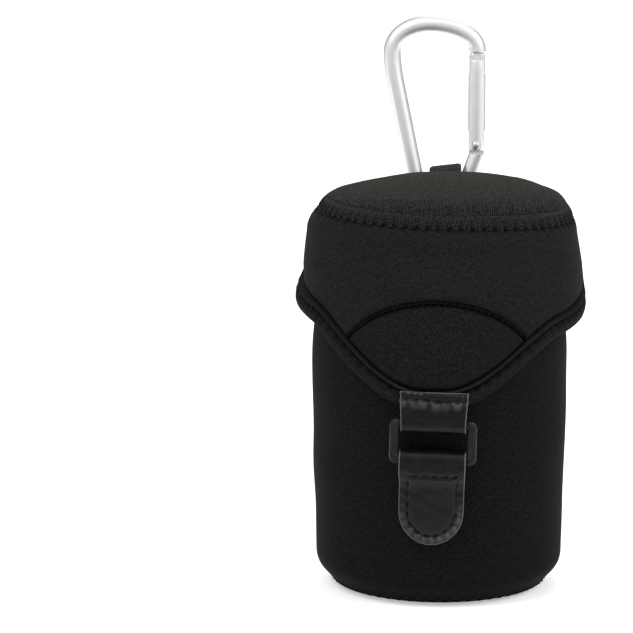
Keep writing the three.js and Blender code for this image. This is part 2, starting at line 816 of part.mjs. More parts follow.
function latchPin() {
  return toSolid(crossBar(latchPinRadius, latchPinLength, gateOffset, latchPinHeight));
}

const plungerBottom = rivetHeight + tongueRadius + fitGap;

function gatePlunger() {
  return toSolid(uprightBar(plungerDiameter / 2, plungerBottom, plungerBottom + plungerLength, gateOffset));
}

function gateSpring() {
  const bottom = plungerBottom + plungerLength + fitGap + springWire / 2;
  const top = gateBottomHeight + gateSlotDepth + springLength + plungerLength - fitGap - springWire / 2;
  const turnSteps = 8;
  const count = springTurns * turnSteps;
  const radius = (springDiameter - springWire) / 2;
  const points = Array.from({ length: count + 1 }, (_, i) => {
    const angle = (2 * Math.PI * i) / turnSteps;
    const height = bottom + ((top - bottom) * i) / count;
    return new THREE.Vector3(gateOffset + radius * Math.cos(angle), radius * Math.sin(angle), height);
  });
  return tubeAlong(points, springWire / 2, count, 5);
}

// Assembly

const neoprene = { color: 0x1f1e1d, roughness: 0.92, metalness: 0 };
const knit = { color: 0x2f2e2b, roughness: 0.95, metalness: 0 };
const thread = { color: 0x111010, roughness: 0.8, metalness: 0 };
const hide = { color: 0x1d1c1b, roughness: 0.5, metalness: 0 };
const plastic = { color: 0x2a2a2a, roughness: 0.45, metalness: 0 };
const alloy = { color: 0xc9ccd0, roughness: 0.32, metalness: 0.9 };
const steel = { color: 0xa8abb0, roughness: 0.35, metalness: 1 };

function piece(name, geometry, finish) {
  geometry.computeVertexNormals();
  const mesh = new THREE.Mesh(geometry, new THREE.MeshStandardMaterial(finish));
  mesh.name = name;
  return mesh;
}

const body = new THREE.Group();
body.add(
  piece("body_wall", bodyWall(), neoprene),
  piece("base_panel", basePanel(), neoprene),
  piece("base_seam", baseSeam(), thread),
  piece("mouth_binding", mouthBinding(), knit),
  piece("back_web", backWeb(), neoprene),
  piece("loop_patch", loopPatch(), knit),
);
const hanging = new THREE.Group();
hanging.add(piece("hang_loop", hangLoop(), knit));
hanging.position.x = hangingOffset;

const lid = new THREE.Group();
lid.add(
  piece("top_panel", topPanel(), knit),
  piece("lid_seam", lidSeam(), thread),
  piece("flap_panel", flapPanel(), neoprene),
  piece("arch_seam", archSeam(), thread),
  piece("flap_tip_panel", flapTipPanel(), neoprene),
  piece("flap_binding", flapBinding(), neoprene),
  piece("anchor_strap", anchorStrap(), hide),
);

const closure = new THREE.Group();
closure.add(
  piece("ring_buckle", ringBuckle(), plastic),
  piece("pull_tab", pullTab(), hide),
  piece("hook_patch", hookPatch(), knit),
);

const carabiner = new THREE.Group();
carabiner.add(
  piece("carabiner_frame", carabinerFrame(), alloy),
  piece("gate_rivet", gateRivet(), steel),
  piece("gate", gateTube(), alloy),
  piece("latch_pin", latchPin(), steel),
  piece("gate_spring", gateSpring(), steel),
  piece("gate_plunger", gatePlunger(), steel),
);
carabiner.position.set(carabinerOffset, 0, bottomBend - swingRise);
const leaning = new THREE.Group();
leaning.add(carabiner);
leaning.position.set(0, swingRadius, swingHeight);
leaning.rotation.x = -carabinerLean * degrees;
hanging.add(leaning);

const pouch = new THREE.Group();
pouch.add(body, lid, closure, hanging);

export default pouch;
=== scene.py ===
import math

import bmesh
import bpy
import numpy as np
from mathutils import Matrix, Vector


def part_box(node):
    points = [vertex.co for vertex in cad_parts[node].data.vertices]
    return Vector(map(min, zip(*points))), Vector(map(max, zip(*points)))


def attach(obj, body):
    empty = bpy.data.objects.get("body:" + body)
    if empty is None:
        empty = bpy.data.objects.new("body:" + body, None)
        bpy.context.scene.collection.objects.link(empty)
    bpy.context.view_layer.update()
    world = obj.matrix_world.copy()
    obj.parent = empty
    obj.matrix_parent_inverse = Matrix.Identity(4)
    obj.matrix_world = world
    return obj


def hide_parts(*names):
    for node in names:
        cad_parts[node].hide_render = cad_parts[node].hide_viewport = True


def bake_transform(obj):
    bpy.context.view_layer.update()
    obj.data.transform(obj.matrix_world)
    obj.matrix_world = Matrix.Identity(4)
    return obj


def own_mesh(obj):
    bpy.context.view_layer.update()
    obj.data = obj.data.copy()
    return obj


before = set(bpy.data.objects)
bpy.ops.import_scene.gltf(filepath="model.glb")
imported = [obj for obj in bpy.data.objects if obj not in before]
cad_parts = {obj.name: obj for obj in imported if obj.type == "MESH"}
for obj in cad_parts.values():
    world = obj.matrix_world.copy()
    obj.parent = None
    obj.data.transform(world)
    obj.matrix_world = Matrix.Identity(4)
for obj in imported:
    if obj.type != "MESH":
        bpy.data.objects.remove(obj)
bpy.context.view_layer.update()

# Lengths below are millimetres, as in the solids, and meshes are written in metres.
MM = 0.001
TURN = 2 * math.pi

# Camera
IMAGE_SIDE = 633
FOCAL_PIXELS = 4027
SENSOR_WIDTH = 36
CAMERA_PLACE = (0.05634, -1.20826, 0.302)
CAMERA_YAW = 4.45
CAMERA_PITCH = -10.286

# Padded body
BODY_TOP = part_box("mouth_binding")[1].z / MM
BASE_RADIUS = 37.75
BULGE_RADIUS = 38.75
BULGE_HEIGHT = 72
MOUTH_RADIUS = 37.4
BASE_CORNER = 10.5
BASE_TUCK = 0.8
BASE_TUCK_ANGLE = 49
BASE_TUCK_SPREAD = 15
WALL = 4
BASE_SEAM_ANGLE = 24
BASE_SEAM_WIDTH = 2.4
TAPE_DEPTH = 7
TAPE_THICKNESS = 0.8

# Lid
LID_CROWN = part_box("top_panel")[1].z / MM
LID_RADIUS = 40
LID_SHOULDER = 13
LID_SHOULDER_HEIGHT = 110.2
LID_THICKNESS = 4
LID_SEAM_LOW = 24
LID_SEAM_HIGH = 46
LID_SEAM_TILT = 4
LID_SEAM_SAG = 6
LID_DOME_ANGLE = 80
LID_FALL_LEFT = 1.1
LID_FALL_RIGHT = 0.7
LID_SHIFT = 1.0
LID_SHIFT_LOW = 60
LID_SHIFT_HIGH = 100
FLAP_LEAN = 1.5

# Flap
FLAP_RADIUS = 42.4
FLAP_THICKNESS = 3.2
FLAP_FLARE_TOP = 97
FLAP_TIP = 67.6
FLAP_TIP_FLAT = 3
FLAP_RISE = 16.5
FLAP_RISE_WIDTH = 44
FLAP_SIDE_SLOPE = 0.2
FLAP_SIDE_SOFTNESS = 30
FLAP_BACK_START = 64
FLAP_BACK_RISE = 13
FLAP_HALF_WIDTH = 92
ARCH_HEIGHT = 94
ARCH_HALF_WIDTH = 38
ARCH_DROP = 34.7
BAND_FLARE_LEFT = 1.9
BAND_FLARE_RIGHT = 0.9
BAND_BEAD = 1.5
WEB_HALF_ANGLE = 52

# Closure
LEATHER = 1.1
RING_WIDTH = 26.0
RING_HEIGHT = 13.6
RING_BAR = 2.6
RING_SIDE_BAR = 2.8
RING_DEPTH = 2.4
RING_CORNER = 2.2
RING_RADIUS = 41.736
UPPER_BAR = 57.9
LOWER_BAR = 46.9
EYE_OUTER = 2.926
TAB_BOTTOM = 21.2
TAB_WIDTH = 19.8
CLOSURE_TILT = 1.4
CLOSURE_SHIFT = 0.2

# Carabiner
WIRE = 5.4
SWING_RADIUS = 48.5
SWING_HEIGHT = 114.5
SWING_RISE = 2.1
CARABINER_LEAN = 5
HANGING_OFFSET = -1.35
CARABINER_OFFSET = HANGING_OFFSET - 0.4
BOTTOM_BEND = 9
SPINE_ANGLE = 12
NOSE_LEG_ANGLE = 19.6
GATE_OFFSET = 10.7
SPINE_OFFSET = 16.1
APEX_OFFSET = 4.45
APEX_HEIGHT = 45.2
NOSE_HEIGHT = 36.5
SPINE_TURN_HEIGHT = 36.4
LEG_TOP = 4.3
RIVET_HEIGHT = 7.24
GATE_BOTTOM = 5.6


def smooth(t):
    t = np.clip(t, 0, 1)
    return t * t * (3 - 2 * t)


def bump_of(distance, width):
    """1 at no distance, fading out over about that width."""
    return np.exp(-((distance / width) ** 2))


def wave(distance, pitch):
    """1 at each multiple of the pitch and 0 half way between."""
    return 0.5 + 0.5 * np.cos(distance / pitch * TURN)


def full_turn(count):
    return np.arange(count) * TURN / count


def steps_along(line):
    """How far each point of a line is from its start."""
    return np.concatenate([[0], np.cumsum(np.linalg.norm(np.diff(line, axis=0), axis=1))])


def ways_along(path):
    """The path's direction at each of its points."""
    ways = np.gradient(path, axis=0)
    return ways / np.linalg.norm(ways, axis=1, keepdims=True)


# Shader nodes

WHITE = (1, 1, 1, 1)


class Shader:
    """A node tree in the making. Each method adds nodes and gives an output."""

    def __init__(self, owner):
        owner.use_nodes = True
        self.tree = owner.node_tree
        self.tree.nodes.clear()

    def add(self, kind, inputs=None, output=0, **settings):
        made = self.tree.nodes.new("ShaderNode" + kind)
        for name, value in settings.items():
            setattr(made, name, value)
        for name, value in (inputs or {}).items():
            if isinstance(value, bpy.types.NodeSocket):
                self.tree.links.new(value, made.inputs[name])
            else:
                made.inputs[name].default_value = value
        return made.outputs[output] if made.outputs else None

    def math(self, operation, first, second):
        return self.add("Math", {0: first, 1: second}, operation=operation)

    def times(self, first, second):
        return self.math("MULTIPLY", first, second)

    def plus(self, first, second):
        return self.math("ADD", first, second)

    def ray(self, kind):
        return self.add("LightPath", output=f"Is {kind} Ray")

    def seen_directly(self):
        """1 for rays that show the background: camera, glossy and transmission rays."""
        either = self.math("MAXIMUM", self.ray("Camera"), self.ray("Glossy"))
        return self.math("MAXIMUM", either, self.ray("Transmission"))

    def mixed(self, share, first, second):
        return self.add("MixShader", {0: share, 1: first, 2: second})

    def span(self, value, low, high, to_low=0.0, to_high=1.0, **settings):
        return self.add("MapRange", {"Value": value, "From Min": low, "From Max": high, "To Min": to_low,
                                     "To Max": to_high}, **settings)

    def cloth(self, scale=(1, 1, 1)):
        """The cloth's own coordinates in millimetres: u along its length, v across it."""
        return self.add("Mapping", {"Vector": self.add("UVMap", uv_map="cloth"), "Scale": scale})

    def solid(self, scale=(1, 1, 1)):
        """The piece's own place in millimetres."""
        place = self.add("TexCoord", output="Object")
        return self.add("Mapping", {"Vector": place, "Scale": tuple(step / MM for step in scale)})

    def noise(self, place, size, detail=2.0, roughness=0.5):
        return self.add("TexNoise", {"Vector": place, "Scale": 1 / size, "Detail": detail,
                                     "Roughness": roughness})

    def bands(self, place, way, scale=1.0, **more):
        return self.add("TexWave", {"Vector": place, "Scale": scale, **more}, "Fac", wave_type="BANDS",
                        bands_direction=way)

    def tone(self, share, first, second):
        """A colour between two, each a colour or a socket."""
        return self.add("Mix", {0: share, 6: first, 7: second}, 2, data_type="RGBA")

    def bump(self, height, depth):
        return self.add("Bump", {"Height": height, "Distance": depth * MM, "Strength": 1.0})

    def mark(self, name):
        """A value that the mesh's points carry."""
        return self.add("Attribute", output="Fac", attribute_name=name)

    def painted_seam_shade(self, color):
        """Painted shade: darkens the cloth's colour by its seam mark, where a seam, crease or stitch hole
        pulls it in.
        """
        return self.tone(self.times(self.mark("seam"), SEAM_SHADE), color, grey(SEAM_BLACK))


# Stage


def link(obj):
    bpy.context.scene.collection.objects.link(obj)
    return obj


def add_camera():
    data = bpy.data.cameras.new("camera")
    data.sensor_width = SENSOR_WIDTH
    data.lens = FOCAL_PIXELS / IMAGE_SIDE * SENSOR_WIDTH
    camera = link(bpy.data.objects.new("camera", data))
    camera.location = CAMERA_PLACE
    camera.rotation_euler = (math.radians(90 + CAMERA_PITCH), 0, math.radians(CAMERA_YAW))
    bpy.context.scene.camera = camera


WORLD_LIGHT = 0.62
# How bright the studio looks in gloss: dim in front and behind, and dimmer at the left than at the right.
# Each row is a direction, the range over which it is faced, and the brightness at each end of that range.
ROOM_IN_GLOSS = (((0.16, -0.98, 0.1), 0.72, 0.98, 1.0, 0.72), ((0, 1, 0), 0.0, 0.5, 1.0, 0.3),
                 ((1, 0, 0), -0.3, 0.3, 0.86, 1.0))
FLOOR_SIZE = 3.0
FLOOR_COLOR = (0.86, 0.86, 0.86, 1)
FLOOR_GLOW = 0.42
FLOOR_DROP = 0.1
# In gloss the floor looks darker in front of the object and behind it: places on Y, and how dark it is there.
FLOOR_REACH = 1.5
FLOOR_IN_GLOSS = ((-1.1, 0.6), (-0.7, 0.8), (-0.3, 0.8), (-0.06, 0.0), (0.25, 0.0), (0.8, 0.75))
# Each lamp's name, place, size and power. All aim at the middle of the pouch.
LAMPS = (("key", (-0.9, -0.8, 1.6), 0.9, 16), ("fill", (1.2, -0.5, 1.2), 0.9, 12),
         ("back", (0.2, 1.4, 1.5), 1.2, 8))
LAMP_AIM = (0, 0, 0.08)


def room_in_gloss(shader):
    way = shader.add("TexCoord", output="Generated")
    share = 1.0
    for towards, low, high, first, last in ROOM_IN_GLOSS:
        facing = shader.add("VectorMath", {0: way, 1: towards}, "Value", operation="DOT_PRODUCT")
        bright = shader.span(facing, low, high, first, last, interpolation_type="SMOOTHSTEP")
        share = shader.times(share, bright)
    return shader.add("Mix", {0: shader.ray("Glossy"), 2: 1.0, 3: share}, data_type="FLOAT")


def add_world():
    world = bpy.data.worlds.new("studio")
    bpy.context.scene.world = world
    shader = Shader(world)
    shown = shader.add("Background", {"Color": WHITE, "Strength": room_in_gloss(shader)})
    light = shader.add("Background", {"Color": WHITE, "Strength": WORLD_LIGHT})
    shader.add("OutputWorld", {"Surface": shader.mixed(shader.seen_directly(), light, shown)})


def floor_material():
    material = bpy.data.materials.new("pale_floor")
    shader = Shader(material)
    plain = shader.add("BsdfDiffuse", {"Color": FLOOR_COLOR})
    glow = shader.add("Emission", {"Color": WHITE, "Strength": FLOOR_GLOW})
    shown = shader.mixed(shader.seen_directly(), plain, shader.add("AddShader", {0: plain, 1: glow}))
    depth = shader.add("SeparateXYZ", {0: shader.add("TexCoord", output="Object")}, "Y")
    dark = shader.add("ValToRGB", {"Fac": shader.span(depth, -FLOOR_REACH, FLOOR_REACH)})
    stops = dark.node.color_ramp.elements
    for stop, (_, value) in zip(stops, (FLOOR_IN_GLOSS[0], FLOOR_IN_GLOSS[-1])):
        stop.color = (value, value, value, 1)
    for far, value in FLOOR_IN_GLOSS:
        stops.new((far + FLOOR_REACH) / (2 * FLOOR_REACH)).color = (value, value, value, 1)
    black = shader.add("Emission", {"Strength": 0.0})
    surface = shader.mixed(shader.times(dark, shader.ray("Glossy")), shown, black)
    shader.add("OutputMaterial", {"Surface": surface})
    return material


def add_floor():
    corners = [(x * FLOOR_SIZE, y * FLOOR_SIZE, 0) for x, y in ((-1, -1), (1, -1), (1, 1), (-1, 1))]
    mesh = bpy.data.meshes.new("floor")
    mesh.from_pydata(corners, [], [(0, 1, 2, 3)])
    mesh.materials.append(floor_material())
    floor = link(bpy.data.objects.new("floor", mesh))
    floor.location.z = -FLOOR_DROP * MM


def add_lamps():
    for name, place, size, power in LAMPS:
        data = bpy.data.lights.new(name, "AREA")
        data.shape = "DISK"
        data.size = size
        data.energy = power
        lamp = link(bpy.data.objects.new(name, data))
        lamp.location = place
        lamp.rotation_euler = (Vector(LAMP_AIM) - Vector(place)).to_track_quat("-Z", "Y").to_euler()


# Meshes

SHARP_ANGLE = 32
WELD_DISTANCE = 0.0005


def loft_data(rings, closed=False):
    """Points, faces and UVs in millimetres of closed sections set one after another along a path."""
    rings = np.asarray(rings, float)
    count, size = rings.shape[:2]
    runs = [np.linalg.norm(np.roll(rings, -1, way) - rings, axis=2).mean(1 - way) for way in (0, 1)]
    along, across = [np.concatenate([[0], np.cumsum(run)]) for run in runs]
    i, j = [part.ravel() for part in np.mgrid[:count if closed else count - 1, :size]]
    after, beside = (i + 1) % count, (j + 1) % size
    faces = np.stack([i * size + j, i * size + beside, after * size + beside, after * size + j], 1).tolist()
    u = np.stack([along[i], along[i], along[i + 1], along[i + 1]], 1)
    v = np.stack([across[j], across[j + 1], across[j + 1], across[j]], 1)
    uvs = np.stack([u, v], 2).reshape(-1, 2)
    if not closed:
        faces += [list(range(size)), list(range((count - 1) * size, count * size))]
        uvs = np.concatenate([uvs, np.zeros((2 * size, 2))])
    return rings.reshape(-1, 3), faces, uvs


def sharpened(obj):
    """Keeps the shading of hard pieces crisp at their edges."""
    obj.data.set_sharp_from_angle(angle=math.radians(SHARP_ANGLE))
    return obj


def add_mesh(name, parts, weld=False, **marks):
    """One object from several (points, faces, uvs), with faces turned out. Marks are values of its points."""
    points, faces, uvs, start = [], [], [], 0
    for part_points, part_faces, part_uvs in parts:
        points.append(part_points)
        faces += [[corner + start for corner in face] for face in part_faces]
        uvs.append(part_uvs)
        start += len(part_points)
    mesh = bpy.data.meshes.new(name)
    mesh.from_pydata((np.concatenate(points) * MM).tolist(), [], faces)
    layer = mesh.uv_layers.new(name="cloth")
    layer.data.foreach_set("uv", np.concatenate(uvs).astype(np.float32).ravel())
    for key, values in marks.items():
        attribute = mesh.attributes.new(key, "FLOAT", "POINT")
        attribute.data.foreach_set("value", np.ravel(values).astype(np.float32))
    form = bmesh.new()
    form.from_mesh(mesh)
    if weld:
        bmesh.ops.remove_doubles(form, verts=form.verts, dist=WELD_DISTANCE * MM)
    bmesh.ops.recalc_face_normals(form, faces=form.faces)
    form.to_mesh(mesh)
    form.free()
    mesh.polygons.foreach_set("use_smooth", [True] * len(mesh.polygons))
    return link(bpy.data.objects.new(name, mesh))


def loft(name, rings, closed=False, weld=False, **marks):
    return add_mesh(name, [loft_data(rings, closed)], weld, **marks)


def on_face(values, rings):
    """Values of a sheet's outer face, with none on the back face that follows it in each section."""
    values = np.broadcast_to(values, (len(rings), np.shape(values)[-1]))
    rest = np.zeros((len(rings), rings.shape[1] - values.shape[1]))
    return np.concatenate([values, rest], 1)


def tube_rings(points, radius, sides=8):
    """Round sections of a tube along points. The radius may differ from point to point."""
    points = np.asarray(points, float)
    ways = ways_along(points)
    lean = np.array([0.0, 0.0, 1.0]) if abs(ways[0][2]) < 0.9 else np.array([0.0, 1.0, 0.0])
    normal = np.cross(ways[0], lean)
    angles = full_turn(sides)
    rings = []
    for point, way, size in zip(points, ways, np.broadcast_to(radius, len(points))):
        normal = normal - way * np.dot(normal, way)
        normal /= np.linalg.norm(normal)
        other = np.cross(way, normal)
        rings.append(point + size * (np.outer(np.cos(angles), normal) + np.outer(np.sin(angles), other)))
    return np.array(rings)


def around(radius, azimuth, height):
    """A point on a cylinder about Z: azimuth 0 is the front and grows towards +X."""
    radius, azimuth, height = np.broadcast_arrays(radius, azimuth, height)
    return np.stack([radius * np.sin(azimuth), -radius * np.cos(azimuth), height], -1).astype(float)


def stitches(place, length, pitch, share=0.68, radius=0.28, sideways=(0, 0), sink=0.45, lift=0.12, start=0.0):
    """Separate threads along a seam. place(s, t, h) is the point s along the seam, t beside it, h above."""
    count = int(round(length / pitch))
    step = length / count
    t = np.linspace(0, 1, 7)
    rise = lift + sink * (np.sin(np.pi * t) ** 0.6 - 1)
    beside = sideways[0] + (sideways[1] - sideways[0]) * t
    sizes = radius * (0.55 + 0.45 * np.sin(np.pi * t) ** 0.5)
    firsts = [start + number * step for number in range(count)]
    return [loft_data(tube_rings(place(first + step * share * t, beside, rise), sizes, 6))
            for first in firsts]


def zigzag(place, length, pitch, reach, radius, lift=0.1):
    """One thread that runs from side to side over a seam."""
    per = 10
    i = np.arange(int(round(length / pitch)) * per)
    phase = i / per
    side = 2 * np.abs(2 * (phase - np.floor(phase + 0.5))) - 1
    rise = lift - 0.3 * np.abs(side) ** 6
    return [loft_data(tube_rings(place(i * length / len(i), reach * side, rise), radius, 6), closed=True)]


# Small uneven shapes, the same on each run


def uneven(u, v, seed, longest=40, shortest=15, count=10):
    """A sum of random plane waves, whose lengths lie between two."""
    random = np.random.default_rng(seed)
    angles = random.uniform(0, TURN, count)
    lengths = random.uniform(shortest, longest, count)
    phases = random.uniform(0, TURN, count)
    ways = np.stack([np.cos(angles) / lengths, np.sin(angles) / lengths], 1) * TURN
    total = sum(np.sin(u * way[0] + v * way[1] + phase) for way, phase in zip(ways, phases))
    return total / math.sqrt(count)


def uneven_round(azimuth, height, seed, count=12):
    """As uneven, for a surface that closes on itself round the Z axis."""
    random = np.random.default_rng(seed)
    total = 0
    for _ in range(count):
        turns = random.integers(1, 7)
        rate = TURN / random.uniform(18, 60) * random.choice([-1, 1])
        total = total + np.sin(turns * azimuth + rate * height + random.uniform(0, TURN))
    return total / math.sqrt(count)


# Padded panels, swelled as cloth

SWELL_SCALE = 10
SWELL_FRAMES = 20
SWELL_PRESSURE = 4
SWELL_SLACK = 0.03


def evaluated_mesh(obj):
    """The mesh that the object's modifiers make."""
    bpy.context.view_layer.update()
    return bpy.data.meshes.new_from_object(obj.evaluated_get(bpy.context.evaluated_depsgraph_get()))


def swelled(flat, sewn, seed):
    """A panel laid flat, sewn down where it is held and blown up as cloth: each point's height, from 0 to 1.

    flat is the panel's grid of places in millimetres. The simulation is ten times as large as the pouch,
    because the solver is made for sizes near a metre.
    """
    scene = bpy.context.scene
    start = np.where(sewn, 0, 0.3 + 0.1 * np.random.default_rng(seed).uniform(-1, 1, sewn.shape))
    points = np.concatenate([flat, start[..., None]], -1).reshape(-1, 3) * (SWELL_SCALE * MM)
    number = np.arange(sewn.size).reshape(sewn.shape)
    faces = np.stack([number[:-1, :-1], number[1:, :-1], number[1:, 1:], number[:-1, 1:]], -1).reshape(-1, 4)
    rim = np.concatenate([number[:, 0], number[-1, 1:], number[-2::-1, -1], number[0, -2:0:-1]])
    mesh = bpy.data.meshes.new("swelling")
    mesh.from_pydata(points.tolist(), [], faces.tolist() + [rim[::-1].tolist()])
    pad = link(bpy.data.objects.new("swelling", mesh))
    pins = pad.vertex_groups.new(name="sewn")
    pins.add(np.flatnonzero(sewn.ravel()).tolist(), 1.0, "REPLACE")
    cloth = pad.modifiers.new("swelling", "CLOTH")
    cloth.settings.vertex_group_mass = pins.name
    cloth.settings.use_pressure = True
    cloth.settings.uniform_pressure_force = SWELL_PRESSURE
    cloth.settings.shrink_min = -SWELL_SLACK
    cloth.settings.effector_weights.gravity = 0
    cloth.collision_settings.use_collision = False
    cloth.point_cache.frame_start = 1
    cloth.point_cache.frame_end = SWELL_FRAMES
    for moment in range(1, SWELL_FRAMES + 1):
        scene.frame_set(moment)
    done = evaluated_mesh(pad)
    places = np.empty(len(done.vertices) * 3)
    done.vertices.foreach_get("co", places)
    bpy.data.objects.remove(pad)
    bpy.data.meshes.remove(mesh)
    bpy.data.meshes.remove(done)
    scene.frame_set(1)
    height = np.maximum(places.reshape(*sewn.shape, 3)[..., 2], 0)
    return height / height.max()


def sampled(grid, u, v):
    """The grid's value at shares u and v of its two sides."""
    u, v = np.broadcast_arrays(u, v)
    x = np.clip(u, 0, 1) * (grid.shape[0] - 1)
    y = np.clip(v, 0, 1) * (grid.shape[1] - 1)
    i = np.minimum(x.astype(int), grid.shape[0] - 2)
    j = np.minimum(y.astype(int), grid.shape[1] - 2)
    before = grid[i, j] + (grid[i, j + 1] - grid[i, j]) * (y - j)
    after = grid[i + 1, j] + (grid[i + 1, j + 1] - grid[i + 1, j]) * (y - j)
    return before + (after - before) * (x - i)


def panel_grid(columns, rows):
    """Shares along and up a panel, and which of its points lie on its rim."""
    u, v = np.meshgrid(np.linspace(0, 1, columns), np.linspace(0, 1, rows), indexing="ij")
    return u, v, (u == 0) | (u == 1) | (v == 0)


# Shapes shared by the soft pieces


def between(first, last, share):
    return first + (last - first) * share


def body_outer(height):
    low = between(BASE_RADIUS, BULGE_RADIUS, smooth((height - BASE_CORNER) / (BULGE_HEIGHT - BASE_CORNER)))
    high = between(BULGE_RADIUS, MOUTH_RADIUS, smooth((height - BULGE_HEIGHT) / (BODY_TOP - BULGE_HEIGHT)))
    return np.where(height < BULGE_HEIGHT, low, high)


def base_edge(radius, angle):
    turn = np.radians(angle)
    tuck = BASE_TUCK * bump_of(np.asarray(angle) - BASE_TUCK_ANGLE, BASE_TUCK_SPREAD)
    return BASE_RADIUS - BASE_CORNER + radius * np.sin(turn) - tuck, BASE_CORNER - radius * np.cos(turn)


def shoulder(radius, angle):
    turn = np.radians(angle)
    return LID_RADIUS - LID_SHOULDER + radius * np.cos(turn), LID_SHOULDER_HEIGHT + radius * np.sin(turn)


def flap_outer(height):
    up = np.clip(height - LID_SHOULDER_HEIGHT, 0, LID_SHOULDER * 0.999)
    over = LID_RADIUS - LID_SHOULDER + np.sqrt(LID_SHOULDER ** 2 - up ** 2)
    share = (height - FLAP_FLARE_TOP) / (LID_SHOULDER_HEIGHT - FLAP_FLARE_TOP)
    return np.where(height > LID_SHOULDER_HEIGHT, over, between(FLAP_RADIUS, LID_RADIUS, smooth(share)))


def flap_edge(along):
    away = np.abs(along)
    front = FLAP_RISE * smooth((away - FLAP_TIP_FLAT) / (FLAP_RISE_WIDTH - FLAP_TIP_FLAT))
    side = FLAP_SIDE_SLOPE * (np.hypot(away, FLAP_SIDE_SOFTNESS) - FLAP_SIDE_SOFTNESS)
    back = FLAP_BACK_RISE * smooth((away - FLAP_BACK_START) / (FLAP_HALF_WIDTH - FLAP_BACK_START))
    return FLAP_TIP + front + side + back


def arch_line(along):
    share = np.clip(np.abs(along) / ARCH_HALF_WIDTH, 0, 1)
    return ARCH_HEIGHT - ARCH_DROP * (1 - np.sqrt(1 - share ** 2))


def arch_end():
    """Where the arch meets the flap's edge, found by halving."""
    low, high = 0, ARCH_HALF_WIDTH
    for _ in range(40):
        middle = (low + high) / 2
        if arch_line(middle) > flap_edge(middle):
            low = middle
        else:
            high = middle
    return low


ARCH_END = arch_end()


def settle_lid(points):
    """The lid sits a little to one side of the body, and its flap hangs lower at the right."""
    moved = np.array(points, float)
    across = moved[..., 0].copy()
    moved[..., 0] += LID_SHIFT * smooth((moved[..., 2] - LID_SHIFT_LOW) / (LID_SHIFT_HIGH - LID_SHIFT_LOW))
    hanging = smooth((LID_SHOULDER_HEIGHT - moved[..., 2]) / 18) * smooth((np.abs(across) - 26) / 14)
    moved[..., 2] -= FLAP_LEAN * np.sign(across) * hanging
    return moved


# Body

GAP = 0.3
BASE_SEAM_HALF = math.degrees(BASE_SEAM_WIDTH / 2 / BASE_CORNER) * 0.55
BASE_SEAM_MIDDLE = base_edge(BASE_CORNER, BASE_SEAM_ANGLE)[0]
ROUND = full_turn(320)[:, None]
BASE_PITCH = 3.5
MOUTH_PITCH = 3.0
WALL_UNEVEN = 0.14
WALL_SWELL = 0.55
WEB_LOW = BODY_TOP - 3.5
WEB_OVERLAP = 0.7


def wall_relief(azimuth, height):
    """How far the wall stands from its even shape. It is held at both ends and under the loop patch."""
    soft = WALL_UNEVEN * uneven_round(azimuth, height, seed=3) * smooth((height - 8) / 25)
    u, v, rim = panel_grid(96, 34)
    top = BODY_TOP - TAPE_DEPTH
    flat = np.stack([(u - 0.5) * TURN * BASE_RADIUS, v * top], -1)
    patch = (np.abs(flat[..., 0]) < TAB_WIDTH / 2) & (np.abs(flat[..., 1] - (TAB_BOTTOM + LOOP_TOP) / 2) < 12)
    swell = swelled(flat, rim | (v == 1) | patch, seed=51)
    rise = sampled(swell, (azimuth + math.pi) % TURN / TURN, height / top)
    return soft * smooth((BODY_TOP - 4 - height) / 14) + WALL_SWELL * (rise - 0.6)


def seam_tuck(away):
    """How far a panel's edge is drawn in, at an angle away from the seam of the base."""
    return 0.75 * bump_of(away * math.radians(1) * BASE_CORNER, 0.9)


def pouch_wall():
    start = BASE_SEAM_ANGLE + BASE_SEAM_HALF
    angles = np.linspace(start, 90, 22)
    edge_radius, edge_height = base_edge(BASE_CORNER, angles)
    tuck = seam_tuck(angles - start)
    heights = np.linspace(BASE_CORNER, BODY_TOP - TAPE_DEPTH + 1.2, 46)[1:]
    step = TAPE_THICKNESS + GAP
    lip = BODY_TOP - step
    inner_radius, inner_height = base_edge(BASE_CORNER - WALL, np.linspace(90, start, 9))
    down = np.linspace(lip, BASE_CORNER, 20)[1:-1]
    radius = np.concatenate([
        edge_radius - tuck * np.sin(np.radians(angles)), body_outer(heights),
        [body_outer(lip - 4) - step, body_outer(lip) - step, body_outer(lip) - WALL + step],
        body_outer(down) - WALL, inner_radius])
    height = np.concatenate([
        edge_height + tuck * np.cos(np.radians(angles)), heights, [lip - 4, lip, lip], down, inner_height])
    outside = np.arange(len(radius)) < len(angles) + len(heights)
    near = bump_of(height - edge_height[0] - 0.9, 1.3) * outside
    pucker = -0.22 * near * wave(ROUND * BASE_RADIUS, BASE_PITCH)
    full = radius + outside * wall_relief(ROUND, height[None]) + pucker
    return loft("pouch_wall", around(full, ROUND, height), closed=True)


def base_pad():
    end = BASE_SEAM_ANGLE - BASE_SEAM_HALF
    flat = np.linspace(0, BASE_RADIUS - BASE_CORNER, 14)
    angles = np.linspace(0, end, 12)[1:]
    edge_radius, edge_height = base_edge(BASE_CORNER, angles)
    inner_radius, inner_height = base_edge(BASE_CORNER - WALL, np.linspace(end, 0, 6))
    radius = np.concatenate([flat, edge_radius, inner_radius, flat[::-2]])
    height = np.concatenate([
        0 * flat, edge_height + seam_tuck(end - angles), inner_height, 0 * flat[::-2] + WALL])
    return loft("base_pad", around(radius, ROUND, height), closed=True, weld=True)


def base_place(s, t, h):
    """A point on the seam of the base: s round it, t across it, h above it."""
    radius, height = base_edge(BASE_CORNER + h, BASE_SEAM_ANGLE + np.degrees(t / BASE_CORNER))
    return around(radius, np.asarray(s) / BASE_SEAM_MIDDLE, np.maximum(height, 0.25))


